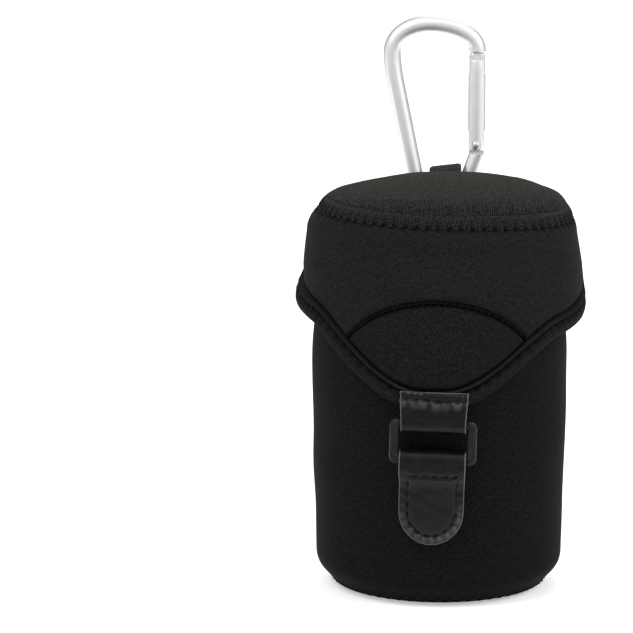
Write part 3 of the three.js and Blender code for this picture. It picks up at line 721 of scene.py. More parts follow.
def base_seam():
    length = TURN * BASE_SEAM_MIDDLE
    t = np.array([-0.9, 0, 0.9, 0.9, 0, -0.9])
    h = np.array([-0.75, -0.6, -0.75, -3.4, -3.4, -3.4])
    parts = [loft_data(base_place(ROUND * BASE_SEAM_MIDDLE, t, h), closed=True)]
    parts += zigzag(base_place, length, BASE_PITCH, 1.75, 0.2, lift=-0.12)
    parts += stitches(base_place, length, BASE_PITCH, radius=0.22, sideways=(1.8, 1.8), lift=-0.05)
    return add_mesh("base_seam_thread", parts)


def mouth_tape():
    low = BODY_TOP - TAPE_DEPTH + 2 * GAP
    middle = body_outer(BODY_TOP) - WALL / 2
    top = BODY_TOP - WALL / 2
    turn = np.linspace(0, math.pi, 11)
    heights = np.linspace(low, top, 8)[:-1]
    outer = np.stack([body_outer(heights) + 0.12 * np.sin((heights - low) / 4.4 * math.pi), heights], 1)
    cap = np.stack([middle + WALL / 2 * np.cos(turn), top + WALL / 2 * np.sin(turn)], 1)
    inner = np.stack([body_outer(heights[::-1]) - WALL, heights[::-1]], 1)
    inset = WALL / 2 - TAPE_THICKNESS
    back = np.array([
        [body_outer(low) - WALL + TAPE_THICKNESS, low], [middle - inset, BODY_TOP - TAPE_THICKNESS],
        [middle + inset, BODY_TOP - TAPE_THICKNESS], [body_outer(low) - TAPE_THICKNESS, low]])
    radius, height = np.concatenate([outer, cap, inner, back]).T
    near = bump_of(height - low - 1.4, 0.8) * (radius > middle)
    dent = 0.25 * near * (0.6 + 0.4 * np.cos(ROUND * MOUTH_RADIUS / MOUTH_PITCH * TURN))

    def place(s, t, h):
        return around(body_outer(low) + h - 0.1, np.asarray(s) / MOUTH_RADIUS, low + 1.4 + np.asarray(t))

    tape = loft("mouth_tape", around(radius - dent, ROUND, height), closed=True)
    sewing = stitches(place, TURN * MOUTH_RADIUS, MOUTH_PITCH, radius=0.22)
    return tape, add_mesh("mouth_tape_thread", sewing)


def web_surface(azimuth, height, lift):
    """The web at the back: from the mouth of the body up to the lid's seam."""
    seam_radius, seam_height = shoulder(LID_SHOULDER, seam_angles(azimuth)[0])
    share = smooth((height - WEB_LOW) / (seam_height - WEB_LOW))
    radius = body_outer(BODY_TOP) + 0.5 + (seam_radius - body_outer(BODY_TOP) - 0.2) * share + lift
    return around(radius, azimuth, height)


def hinge_web():
    half = math.radians(WEB_HALF_ANGLE)
    azimuth = np.linspace(math.pi - half, math.pi + half, 80)[:, None]
    high = shoulder(LID_SHOULDER, seam_angles(azimuth)[0])[1] + WEB_OVERLAP
    heights = between(WEB_LOW, high, np.linspace(0, 1, 24))
    outer = web_surface(azimuth, heights, 0.6 * np.clip(heights - WEB_LOW, 0, 1) - 0.6)
    back = heights[:, ::-2]
    inner = web_surface(azimuth, back, -np.where(back < BODY_TOP + 0.6, 0.7, 3.2))
    edge = np.minimum(azimuth - azimuth[0], azimuth[-1] - azimuth) * MOUTH_RADIUS
    middle = (outer.mean(1, keepdims=True) + inner.mean(1, keepdims=True)) / 2
    rings = np.concatenate([outer, inner], 1)
    rings[..., :2] += (middle[..., :2] - rings[..., :2]) * 0.75 * bump_of(edge, 1.2)[..., None]
    return loft("hinge_web", rings)


# Lid

LID_PITCH = 3.6
DIMPLE = 0.75
DIMPLE_DEPTH = 0.9


def seam_angles(azimuth):
    """The seam's two edges on the shoulder, in degrees. It runs a little lower on the right."""
    tilt = LID_SEAM_TILT * np.sin(azimuth) + LID_SEAM_SAG * np.maximum(np.sin(azimuth), 0) ** 2
    return LID_SEAM_LOW - tilt, LID_SEAM_HIGH - tilt


def shoulder_point(azimuth, angle, lift, radius=LID_SHOULDER):
    out, height = shoulder(radius + lift, angle)
    return settle_lid(around(out, azimuth, height))


def lid_fall(x, height):
    """How far the top of the lid is pressed down at its left and right."""
    top = smooth((height - LID_SHOULDER_HEIGHT - LID_SHOULDER * 0.72) / 3)
    return top * (LID_FALL_LEFT * smooth((-x - 6) / 20) + LID_FALL_RIGHT * smooth((x - 22) / 10))


def lid_top():
    high = seam_angles(ROUND)[1]
    angle = between(high, LID_DOME_ANGLE, np.linspace(0, 1, 18))
    distance = np.radians(angle - high) * LID_SHOULDER
    lift = -0.18 * bump_of(distance, 0.5) + 0.2 * smooth(distance / 3) * (1 - smooth((distance - 3) / 6))
    lift = lift - 0.15 * bump_of(distance - 0.6, 0.7) * wave(ROUND * LID_RADIUS, LID_PITCH)
    lift = lift + 0.12 * uneven_round(ROUND, angle, seed=5) * smooth(distance / 3)
    rim = shoulder_point(ROUND, angle, lift)
    edge_radius, edge_height = shoulder(LID_SHOULDER, LID_DOME_ANGLE)
    fall = np.linspace(1, 0, 14)[1:]
    height = LID_CROWN - (LID_CROWN - edge_height) * fall ** 2
    dome = settle_lid(around(edge_radius * fall, ROUND, height))
    under = settle_lid(around(edge_radius * fall[::-2], ROUND, height[::-2] - LID_THICKNESS))
    inner = shoulder_point(ROUND, angle[:, ::-4], 0, LID_SHOULDER - LID_THICKNESS)
    rings = np.concatenate([rim, dome, under, inner], 1)
    rings[..., 2] -= lid_fall(rings[..., 0], rings[..., 2])
    # The seam mark paints shade along the dome's lower edge, beside the seam band.
    return loft("lid_top", rings, closed=True, weld=True, seam=on_face(0.1 * bump_of(distance, 0.3), rings))


def dimples(s):
    """1 at each stitch hole of the lid's seam and 0 between them."""
    return bump_of((s / LID_PITCH - np.round(s / LID_PITCH)) * LID_PITCH, DIMPLE)


def seam_place(s, t, h):
    """A point on the lid's seam: s round it, t from its lower edge, h above it."""
    azimuth = np.asarray(s) / LID_RADIUS
    return shoulder_point(azimuth, between(*seam_angles(azimuth), np.asarray(t)), h)


def lid_seam():
    azimuth = full_turn(2 * len(ROUND))[:, None]
    s = azimuth * LID_RADIUS
    t = np.concatenate([[0.01, 0.04, 0.07, 0.1, 0.14, 0.19], np.linspace(0.27, 0.99, 9)])
    cross = np.maximum(wave(s / LID_PITCH + t, 1), wave(s / LID_PITCH - t, 1))
    dots = dimples(s) * bump_of(t - 0.03, DIMPLE / 5)
    outer = seam_place(s, t, -0.3 + 0.14 * np.sin(np.pi * t) + 0.14 * cross - DIMPLE_DEPTH * dots)
    back = between(*seam_angles(azimuth), np.linspace(0.97, 0.03, 4))
    rings = np.concatenate([outer, shoulder_point(azimuth, back, 0, LID_SHOULDER - LID_THICKNESS)], 1)
    # Painted shade: the seam mark darkens the stitch holes, the dimples of the upper edge and the band's
    # lower edge.
    upper = 0.5 * dimples(s + LID_PITCH / 2) * bump_of(t - 0.9, 0.08)
    edges = np.maximum(np.maximum(dots, upper), 0.35 * bump_of(t, 0.05))
    band = loft("lid_seam_band", rings, closed=True, seam=on_face(edges, rings))
    length = TURN * LID_RADIUS
    parts = stitches(seam_place, length, LID_PITCH, share=0.4, radius=0.2, sideways=(0.02, 0.02), lift=-0.12,
                     start=LID_PITCH * 0.3)
    for start in (0, LID_PITCH / 3, 2 * LID_PITCH / 3):
        parts += zigzag(lambda s, t, h: seam_place(s + start, 0.45 + t, h - 0.2), length, LID_PITCH,
                        0.36, 0.12)
    return band, add_mesh("lid_seam_thread", parts)


def on_flap(along, height, lift):
    return settle_lid(around(flap_outer(height) + lift, np.asarray(along) / FLAP_RADIUS, height))


ARCH_GAP = 0.55
ARCH_PITCH = 2.2
SKIRT_LEFT = 1.2
SKIRT_RIGHT = 0.4
SKIRT_SWELL = 0.6
TIP_SWELL = 0.5
EDGE_GAP = 0.1
EDGE_TONGUE = 0.35
ARCH_TONGUE = 1.3
TONGUE_LIFT = np.array([[-2.9, -2.2]])


def flap_swell(half, shape, foot, top, share, along, seed):
    """The swell of one of the flap's panels, which is stitched at every other point of its upper edge."""
    u, v, rim = panel_grid(*shape)
    columns = (2 * u - 1) * half
    foot = foot(columns)
    flat = np.stack([columns, foot + (top(columns, foot) - foot) * v], -1)
    stitched = (v == 1) & (np.arange(shape[0])[:, None] % 2 == 0)
    return sampled(swelled(flat, rim | stitched, seed=seed), (along / half + 1) / 2, share)


def flap_panel(name, along, height, lift, reach, seam):
    """A panel of the flap, whose seam mark is painted shade along its creases. A thin hidden lip under its
    lower edge keeps light from passing beside it.
    """
    outer = on_flap(along, height, lift)
    inner = on_flap(along, height[:, ::-6], -FLAP_THICKNESS)
    lip = on_flap(along, height[:, :1] - reach + 0 * TONGUE_LIFT, TONGUE_LIFT)
    rings = np.concatenate([outer, inner, lip], 1)
    return loft(name, rings, seam=on_face(seam, rings))


def flap_skirt():
    left = np.linspace(-FLAP_HALF_WIDTH, -ARCH_END, 90)[:-1]
    along = np.concatenate([left, np.linspace(-ARCH_END, ARCH_END, 130), -left[::-1]])[:, None]
    azimuth = along / FLAP_RADIUS
    edge = flap_edge(along)
    low = np.maximum(edge + EDGE_GAP, np.where(np.abs(along) < ARCH_END, arch_line(along) + ARCH_GAP, edge))
    seam = shoulder(LID_SHOULDER, seam_angles(azimuth)[0])[1]
    share = np.linspace(0, 1, 44)
    share = share - 0.08 * np.sin(TURN * share) / TURN
    height = between(low, seam, share)
    above = height - low
    below = (seam - height) * 1.1
    lift = -0.9 * bump_of(above, 0.85) - 0.5 * bump_of(below, 0.6) + 0.4 * bump_of(below - 5, 5)
    side = np.sin(azimuth)
    full = SKIRT_LEFT * smooth(-side) + SKIRT_RIGHT * smooth(side)
    lift = lift + full * bump_of(below - 9.5, 7) * smooth(below / 3)
    lift = lift + SKIRT_SWELL * flap_swell(
        FLAP_HALF_WIDTH, (103, 30), lambda x: np.interp(x, along[:, 0], low[:, 0]),
        lambda x, foot: np.interp(x, along[:, 0], seam[:, 0]), share, along, seed=52)
    s = azimuth * LID_RADIUS
    lift = lift - 0.3 * bump_of(below - 0.8, 1.0) * wave(s, LID_PITCH)
    lift = lift - DIMPLE_DEPTH * dimples(s) * bump_of(below, DIMPLE)
    lift = lift + 0.18 * uneven(along, height, seed=11) * smooth(above / 6) * smooth(below / 6)
    # Painted shade at the panel's lower edge and in the stitch dimples along its upper seam.
    painted_crease_shade = np.maximum(bump_of(above, 0.35), bump_of(below - 0.15, 0.6) * (0.2 + 0.8 * dimples(s)))
    reach = np.minimum(ARCH_TONGUE, low - edge + EDGE_TONGUE - EDGE_GAP)
    return flap_panel("flap_skirt", along, height, lift, reach, painted_crease_shade)


def flap_tip():
    half = ARCH_END - 1.2
    along = np.linspace(-half, half, 130)[:, None]
    low = flap_edge(along) + EDGE_GAP
    high = arch_line(along) - ARCH_GAP
    share = np.linspace(0, 1, 40)
    height = between(low, high, share)
    near = np.minimum(height - low, high - height)
    lift = -1.1 * bump_of(near, 0.6) + 0.25 * smooth(near / 7)
    lift = lift + TIP_SWELL * flap_swell(
        half, (67, 26), flap_edge, lambda x, foot: np.maximum(arch_line(x), foot + 1), share, along, seed=53)
    lift = lift + 0.08 * uneven(along, height, seed=12) * smooth(near / 5)
    lift = lift - 0.28 * bump_of(high - height - 0.9, 0.7) * wave(along, ARCH_PITCH)
    # The seam mark paints shade all round the panel's edges.
    return flap_panel("flap_tip", along, height, lift, EDGE_TONGUE, bump_of(near, 0.5))


def arch_roll():
    half = ARCH_END - 0.9
    along = np.linspace(-half, half, 260)
    scallop = 0.16 * np.abs(np.sin(along / ARCH_PITCH * math.pi))
    roll = on_flap(along, arch_line(along) + 0.1, scallop - 1.25)

    def place(s, t, h):
        return on_flap(s - half, arch_line(s - half) + t, h)

    sewing = stitches(place, 2 * half, ARCH_PITCH, share=0.45, radius=0.2, sideways=(0.5, -0.6), sink=0.5,
                      lift=-0.12)
    return add_mesh("arch_roll", [loft_data(tube_rings(roll, 0.36 + scallop, 10))] + sewing)


# The band's section: a groove, a narrow bead, a second groove, then a wider padded band. Each row is a place
# across the band, how far it stands above the flap's surface, and how dark the painted seam shade makes it.
BAND_FRONT = np.array([
    (0, -1.7, 1), (0.1, -1.3, 1), (0.16, -0.6, 0.6), (0.25, 0.05, 0.1), (0.38, 0.45, 0), (0.55, 0.62, 0),
    (0.76, 0.62, 0), (0.97, 0.4, 0), (1.14, 0.0, 0.1), (1.28, -0.5, 0.75), (1.4, -0.75, 1), (1.6, -0.5, 0.8),
    (2.0, -0.05, 0.35), (2.6, 0.22, 0.2), (3.5, 0.4, 0.1), (4.3, 0.4, 0.1), (5.1, 0.15, 0.3),
    (5.7, -0.4, 0.6), (6.1, -1.1, 0.9), (6.3, -1.8, 1)])
BAND_BACK = np.array([(6.1, -2.5), (5.4, -3.0), (3.5, -3.2), (1.5, -3.2), (0, -3.2)])
BAND_PITCH = 3.1
# Beyond this, round at the sides, the flap's edge lies close to the pouch again.
BAND_FLARE_END = 65.5


def beside_edge(along, across, lift):
    """A point of the flap's edge band: along the edge, across it outwards, and above the flap's surface."""
    delta = 0.2
    slope = (flap_edge(along + delta) - flap_edge(along - delta)) / (2 * delta)
    length = np.hypot(1, slope)
    full = np.where(along < 0, BAND_FLARE_LEFT, BAND_FLARE_RIGHT)
    full = full * (1 - smooth((np.abs(along) - BAND_FLARE_END) / 7))
    flare = full * smooth(across / BAND_BEAD) * (0.15 + 0.85 * smooth((np.abs(along) - 14) / 42))
    return on_flap(along + across * slope / length, flap_edge(along) - across / length, lift + flare)


def flap_edge_band():
    half = FLAP_HALF_WIDTH - GAP
    along = np.linspace(-half, half, 420)[:, None]
    across, lift = np.concatenate([BAND_FRONT[:, :2], BAND_BACK]).T
    outside = np.arange(len(across)) < len(BAND_FRONT)
    drawn = smooth(0.5 + 0.9 * np.cos(along / BAND_PITCH * TURN + 0.8 * np.sin(along / 7)))
    pull = bump_of(across - 2.1, 0.8) * drawn
    soft = 0.1 * uneven(along, across * 2, seed=14, longest=30, shortest=9)
    rings = beside_edge(along, across, lift + outside * (soft - 0.4 * pull))
    # Painted shade in the grooves and where the stitches pull the band in.
    painted_crease_shade = np.maximum(BAND_FRONT[:, 2], 0.85 * pull[:, :len(BAND_FRONT)])
    return loft("flap_edge_band", rings, seam=on_face(painted_crease_shade, rings))


def band_stitches():
    half = FLAP_HALF_WIDTH - 4
    return add_mesh("flap_edge_thread", stitches(
        lambda s, t, h: beside_edge(s - half, t, h + 0.12), 2 * half, BAND_PITCH, share=0.5, radius=0.24,
        sideways=(2.6, 4.0), sink=0.5, lift=0.14))


# Closure

RING_MIDDLE = (UPPER_BAR + LOWER_BAR) / 2


def tilt_closure(points):
    """Turns the closure a little clockwise in its own plane, about the middle of the ring."""
    moved = np.array(points, float)
    turn = math.radians(CLOSURE_TILT)
    x, z = moved[..., 0].copy(), moved[..., 2] - RING_MIDDLE
    moved[..., 0] = CLOSURE_SHIFT + x * math.cos(turn) + z * math.sin(turn)
    moved[..., 2] = RING_MIDDLE + z * math.cos(turn) - x * math.sin(turn)
    return moved


def curve_through(points, per=12):
    """A Catmull-Rom curve through points, with so many steps from each to the next."""
    points = np.asarray(points, float)
    padded = np.concatenate([[2 * points[0] - points[1]], points, [2 * points[-1] - points[-2]]])
    found = []
    for a, b, c, d in zip(padded, padded[1:], padded[2:], padded[3:]):
        for t in np.arange(per) / per:
            found.append(0.5 * (2 * b + (c - a) * t + (2 * a - 5 * b + 4 * c - d) * t * t
                                + (3 * b - a - 3 * c + d) * t ** 3))
    return np.array(found + [points[-1]])


def at_steps(line, places):
    """The points of a line at places along it."""
    steps = steps_along(line)
    return np.stack([np.interp(places, steps, column) for column in np.asarray(line).T], -1)


def strip_along(line, spacing):
    """A strip's path through a line's corners, how far along it each point is, and which way it faces."""
    fine = curve_through(line)
    length = steps_along(fine)[-1]
    s = np.linspace(0, length, max(int(round(length / spacing)), 2) + 1)
    path = at_steps(fine, s)
    ways = ways_along(path)
    return path, s, np.stack([-ways[:, 1], ways[:, 0]], 1)


STRAP_TOP = 67.5
STRAP_HALF_TOP = 10.15
STRAP_HALF_BAR = 9.65
STRAP_FOLD = 2.3
STRAP_PITCH = 3.1
PUCKER_PITCH = 3.3
# How strongly a highlight is painted on the crests of the strap's puckers.
STRAP_PAINTED_HIGHLIGHT = 0.32
STRAP_DRAPE = 0.75
CUT_CHAMFER = 0.3


def strap_fold(x):
    """How far from the strap's end its sewn fold runs, which wanders a little."""
    return STRAP_FOLD + 0.25 * np.sin(x / 4.1 + 0.6) + 0.12 * np.sin(x / 1.3)


def anchor_strap():
    """The leather strap: over the flap's edge, down to the ring's upper bar and round it."""
    mid = EYE_OUTER - LEATHER / 2
    turns = np.radians(np.arange(0, -236, -16))
    wrap = np.stack([RING_RADIUS + mid * np.cos(turns), UPPER_BAR + mid * np.sin(turns)], 1)
    path, s, normals = strip_along(np.concatenate([
        [[43.35, STRAP_TOP], [43.9, STRAP_TOP - 1.8], [44.0, STRAP_TOP - 4], [44.15, UPPER_BAR + 3]],
        wrap, [[41.2, UPPER_BAR + 2.9]]]), 0.3)
    half = between(STRAP_HALF_TOP, STRAP_HALF_BAR, smooth(s / 10))[:, None]
    x = half * (np.sin(np.linspace(-1, 1, 61) * math.pi / 2 * 0.97) / math.sin(math.pi / 2 * 0.97))
    drape = STRAP_DRAPE * (1 - smooth(s / 9))[:, None] * x ** 2 / (2 * FLAP_RADIUS)
    from_end = np.minimum(s, s[-1] - s)[:, None]
    s = s[:, None]
    near = s - strap_fold(x)
    swell = 0.55 + 0.3 * np.sin(x / PUCKER_PITCH * TURN + 0.8) + 0.22 * np.sin(x / 5.3 * TURN)
    relief = -0.55 * bump_of(near, 0.42) + swell * 1.05 * bump_of(near - 1.35, 1.05)
    relief += 0.22 * bump_of(near + 1.2, 0.8) * (1 + 0.5 * np.sin(x / 1.9 * TURN))
    relief += 0.06 * uneven(x, s, seed=21, longest=8, shortest=2.5) * (1 - smooth((s - 6) / 6))
    from_side = half - np.abs(x)
    rim = np.minimum(from_side, from_end)
    ragged = 0.07 * np.sin(s * 2.9) + 0.05 * np.sin(s * 7.3 + 1)
    sides = np.sign(x) * ragged * bump_of(from_side, 0.3)

    def place(x, offset):
        flat = path[:, None, :] + normals[:, None, :] * offset[..., None]
        return np.stack([x, -(flat[..., 0] - drape), flat[..., 1]], -1)

    outer = place(x + sides, LEATHER / 2 + relief - CUT_CHAMFER * (1 - smooth(rim / 0.34)))
    back = place(x[:, ::-1] + sides[:, ::-1], np.full_like(x, -LEATHER / 2))
    rings = tilt_closure(np.concatenate([outer, back], 1))
    # Painted highlight: the paler raw colour is laid on the crests of the puckers below the fold.
    painted_highlight = STRAP_PAINTED_HIGHLIGHT * np.clip(swell, 0, 1) * bump_of(near - 1.35, 0.8)
    cut = np.maximum(1 - smooth((rim - 0.1) / 0.22), painted_highlight)
    strap = loft("anchor_leather", rings, cut=on_face(cut, rings))

    def sewn(along, t, h):
        x = along - 9.4
        radius, z = (np.interp(strap_fold(x), s[:, 0], column) for column in path.T)
        drop = STRAP_DRAPE * x ** 2 / (2 * FLAP_RADIUS)
        return tilt_closure(np.stack([x, -(radius - drop + LEATHER / 2 - 0.42 + h), z + t], -1))

    return strap, add_mesh("anchor_thread", stitches(sewn, 18.8, STRAP_PITCH, radius=0.27))


BAR_STEPS = 14
BAR_SLIM = 0.22
INNER_CORNER = 0.7
# The ring's section, from its outer rim across the front to the opening and back: a share of the way in, and
# how far the section lies below its front or above its back.
RING_FRONT = ((0, 0.7), (0.02, 0.4), (0.07, 0.15), (0.14, 0), (0.2, 0), (0.27, 0.12), (0.36, 0.3),
              (0.74, 0.3), (0.82, 0.2), (0.9, 0.1), (0.97, 0.3), (1, 0.6))
RING_BACK = ((1, 0.45), (0.97, 0.15), (0.9, 0), (0.1, 0), (0.03, 0.15), (0, 0.45))


def ring_outline(half_wide, half_high, corner):
    """A rounded oblong from the top of its right side, with steps along its upper and lower straight runs."""
    found = []
    share = np.linspace(0, 1, BAR_STEPS + 2)[1:-1, None]
    for quarter, (sx, sz) in enumerate([(1, 1), (-1, 1), (-1, -1), (1, -1)]):
        turn = quarter * math.pi / 2 + np.linspace(0, math.pi / 2, 9)
        arc = np.stack([sx * (half_wide - corner) + corner * np.cos(turn),
                        sz * (half_high - corner) + corner * np.sin(turn)], 1)
        if quarter in (1, 3):
            found.append(between(found[-1][-1], arc[0], share))
        found.append(arc)
    return np.concatenate(found)


def ring_frame():
    """The ring. Its two bars are a little slimmer where the leather goes round them."""
    outer = ring_outline(RING_WIDTH / 2, RING_HEIGHT / 2, RING_CORNER)
    inner = ring_outline(RING_WIDTH / 2 - RING_SIDE_BAR, RING_HEIGHT / 2 - RING_BAR, INNER_CORNER)
    half = RING_DEPTH / 2
    section = [(share, half - drop) for share, drop in RING_FRONT]
    section += [(share, rise - half) for share, rise in RING_BACK]
    share, depth = np.array(section).T
    flat = between(outer[:, None], inner[:, None], share[:, None])
    full = 1 - BAR_SLIM * (1 - smooth((np.abs(flat[..., 0]) - STRAP_HALF_TOP) / 0.6))
    bar = np.sign(flat[..., 1]) * (UPPER_BAR - LOWER_BAR) / 2
    height = RING_MIDDLE + bar + (flat[..., 1] - bar) * full
    rings = np.stack([flat[..., 0], -RING_RADIUS - depth * full, height], -1)
    return sharpened(loft("ring_frame", tilt_closure(rings), closed=True))


TAB_STANDOFF = 3.1
TAB_THICKNESS = 2
TAB_HALF = TAB_WIDTH / 2
TAB_CENTRE = TAB_BOTTOM + TAB_HALF
TAB_INSET = 2.6
TAB_STITCH_TOP = 42.2
TAB_STITCH_LEFT = -7.25
TAB_STITCH_RIGHT = 7.75
TAB_PITCH = 3.1
# How strongly a highlight is painted on the tab's puckered welt.
TAB_PAINTED_HIGHLIGHT = 0.5
TAB_CHAMFER = 0.34


def tab_surface(x, z, depth):
    """A point of the tab, depth behind its front face: flat at the ring, bent round the body below."""
    bend_top = LOWER_BAR - EYE_OUTER
    bend = 2 * EYE_OUTER
    front = body_outer(bend_top) + TAB_STANDOFF + TAB_THICKNESS
    flat = np.stack(np.broadcast_arrays(x, -(RING_RADIUS + EYE_OUTER - depth), z), -1)
    bent = around(body_outer(z) + TAB_STANDOFF + TAB_THICKNESS - depth, x / front, z)
    return between(bent, flat, smooth((z - bend_top + bend) / bend)[..., None])


def tab_rim(x, z):
    """The distance from the tab's outline, which is straight at the sides and round at the end."""
    return TAB_HALF - np.hypot(x, np.maximum(TAB_CENTRE - z, 0))


def tab_welt(x, z):
    """The swollen, puckered leather between the seam and the tab's edge."""
    turn = np.arctan2(x, TAB_CENTRE - z)
    s = np.where(z > TAB_CENTRE, z, turn * TAB_HALF)
    pucker = 0.55 + 0.45 * np.sin(s / TAB_PITCH * TURN * 1.05 + 0.7 * np.sin(s / 3))
    return bump_of(tab_rim(x, z) - 1.3, 0.75) * (z < TAB_STITCH_TOP + 6) * pucker


def tab_relief(x, z):
    rim = tab_rim(x, z)
    seam = bump_of(rim - TAB_INSET, 0.45) * (z < TAB_STITCH_TOP + 0.6)
    across = bump_of(z - TAB_STITCH_TOP, 0.45) * (rim > TAB_INSET - 0.4)
    welt = (0.3 + 0.5 * smooth((36 - z) / 10)) * tab_welt(x, z)
    inside = 0.18 * smooth((rim - TAB_INSET) / 2.2) * (z < TAB_STITCH_TOP)
    inside = inside + 0.22 * bump_of(z - TAB_STITCH_TOP + 0.95, 0.4) * (rim > TAB_INSET)
    crease = 0.05 * uneven(x, z, seed=31, longest=7, shortest=1.6)
    full = -0.42 * np.maximum(seam, across) + 0.95 * welt + inside + crease
    return smooth((LOWER_BAR + 1 - z) / 5) * full


def round_ended(half, bottom, top, columns, share):
    """A grid of places x and z over a patch with a round lower end."""
    x = (half * np.sin(np.linspace(-1, 1, columns) * math.pi / 2))[:, None]
    low = bottom + half - np.sqrt(np.maximum(half ** 2 - x ** 2, 0))
    return np.broadcast_arrays(x, between(low, top, share))


def pull_tab():
    share = np.concatenate([[0, 0.004, 0.009, 0.015, 0.023], np.linspace(0.035, 1, 78)])
    wide, z = round_ended(TAB_HALF, TAB_BOTTOM, LOWER_BAR, 73, share)
    rim = tab_rim(wide, z)
    front = tab_surface(wide, z, -tab_relief(wide, z) + TAB_CHAMFER * (1 - smooth(rim / 0.36)))
    turns = np.radians(np.arange(8, 216, 9))
    side = TAB_HALF - np.abs(wide[:, :1])

    def wrap(radius, turns):
        return np.stack(np.broadcast_arrays(
            wide[:, :1], -(RING_RADIUS + radius * np.cos(turns)), LOWER_BAR + radius * np.sin(turns)), -1)

    top = wrap(EYE_OUTER - TAB_CHAMFER * (1 - smooth(side / 0.36)), turns)
    under = wrap(EYE_OUTER - LEATHER, turns[::-1])
    back_wide, back_z = round_ended(TAB_HALF, TAB_BOTTOM, LOWER_BAR, 73, np.linspace(1, 0, 22))
    thick = between(LEATHER, TAB_THICKNESS, smooth((LOWER_BAR - EYE_OUTER - back_z) / 2))
    back = tab_surface(back_wide, back_z, thick)
    rings = tilt_closure(np.concatenate([front, top, under, back], 1))
    welt = 0.6 * tab_welt(wide, z) + 0.4 * bump_of(rim - 1.3, 0.9)
    # Painted highlight: the paler raw colour on the puckered welt, stronger towards the right.
    painted_highlight = TAB_PAINTED_HIGHLIGHT * welt * smooth((36 - z) / 8) * (0.65 + 0.35 * wide / TAB_HALF)
    edge_front = np.maximum(1 - smooth((rim - 0.12) / 0.22), painted_highlight)
    edge_top = 1 - smooth((side - 0.14) / 0.26) + 0 * turns
    rest = np.zeros((len(wide), len(turns) + back_z.shape[1]))
    rest[0] = rest[-1] = 1
    return loft("pull_tab_leather", rings, cut=np.concatenate([edge_front, edge_top, rest], 1))


def tab_stitches():
    """The tab's seam, from the top left corner across, down the right side, round the end and up the left."""
    left, right, top = TAB_STITCH_LEFT, TAB_STITCH_RIGHT, TAB_STITCH_TOP
    middle, reach = (left + right) / 2, (right - left) / 2
    line = [[x, top] for x in np.linspace(left + 1, right, 12)]
    line += [[right, z] for z in np.linspace(top - 0.8, TAB_CENTRE, 12)]
    turns = np.linspace(0.1, math.pi, 24)
    line += [[middle + reach * math.cos(a), TAB_CENTRE - reach * math.sin(a)] for a in turns]
    line += [[left, z] for z in np.linspace(TAB_CENTRE + 0.8, top - 0.6, 12)]

    def place(s, t, h):
        x, z = at_steps(line, s).T
        return tilt_closure(tab_surface(x, z, 0.36 - h))

    sewing = stitches(place, steps_along(line)[-1], TAB_PITCH, share=0.62, radius=0.3, sink=0.5, lift=0.14)
    return add_mesh("pull_tab_thread", sewing)


def bent_pad(name, half, bottom, top, standoff, thickness):
    """A thin pad bent round the body, with a round lower end."""
    x, z = round_ended(half, bottom, top, 40, np.linspace(0, 1, 48))
    near = np.minimum(half - np.hypot(x, np.maximum(bottom + half - z, 0)), top - z)
    lift = thickness * (0.35 + 0.65 * smooth(near / 0.8))
    lift = lift + 0.05 * uneven(x, z, seed=41, longest=2.4, shortest=0.9, count=16) * smooth(near / 1.2)
    outer = around(body_outer(z) + standoff + lift, x / body_outer(z), z)
    x, z = x[:, ::-6], z[:, ::-6]
    inner = around(body_outer(z) + standoff, x / body_outer(z), z)
    return loft(name, np.concatenate([outer, inner], 1))


LOOP_INSET = 1.15
LOOP_TOP = 44.95
HOOK_HALF = 7.3
HOOK_BOTTOM = TAB_BOTTOM + 2.6
HOOK_TOP = 42.2
HOOK_STANDOFF = 2.15
HOOK_PITCH = 1.3
HOOK_MARGIN = 0.9
# One hook: each point's place out from the patch's back, how far it leans up the patch, and its radius.
HOOK = np.array([(0.15, 0, 0.17), (-0.12, 0.02, 0.15), (-0.3, 0.08, 0.14), (-0.42, 0.24, 0.13),
                 (-0.36, 0.4, 0.12), (-0.24, 0.46, 0.08)])


def loop_pad():
    return bent_pad("loop_pad", TAB_HALF - LOOP_INSET, TAB_BOTTOM + LOOP_INSET, LOOP_TOP, 0.05, 1.15)


def hook_pad():
    """The hook patch sewn to the back of the tab, with its rows of moulded hooks."""
    pad = bent_pad("hook_pad", HOOK_HALF, HOOK_BOTTOM, HOOK_TOP, HOOK_STANDOFF, 0.65)
    height, lean_up, radius = HOOK.T
    parts = []
    for z in np.arange(HOOK_BOTTOM + HOOK_MARGIN, HOOK_TOP - 0.6, HOOK_PITCH):
        below = max(HOOK_BOTTOM + HOOK_HALF - z, 0)
        reach = math.sqrt(max(HOOK_HALF ** 2 - below ** 2, 0)) - HOOK_MARGIN
        if reach < 0.4:
            continue
        for x in np.arange(-reach, reach + 0.01, HOOK_PITCH):
            points = around(body_outer(z) + HOOK_STANDOFF + height, x / body_outer(z), z + lean_up)
            parts.append(loft_data(tube_rings(points, radius, 5)))
    return pad, add_mesh("hook_pad_hooks", parts)


# Hanging loop

WEBBING = 1.2
WEBBING_WIDTH = 9.8
SEWN_TOP = 103
SEWN_LENGTH = 19
LOOP_EYE_DEPTH = 10.2
LOOP_EYE_RISE = 2.2
WEBBING_SLANT = 1.2
WEBBING_PUSH = 0.6
RIB_PITCH = 1.15
WARP_PITCH = 0.7
# The sewing through both layers, from the middle: a box with one stroke across it.
BOX_HALF = 3.6
BOX_TOP = 100.5
BOX_LOW = 87
BOX_SEWING = 57


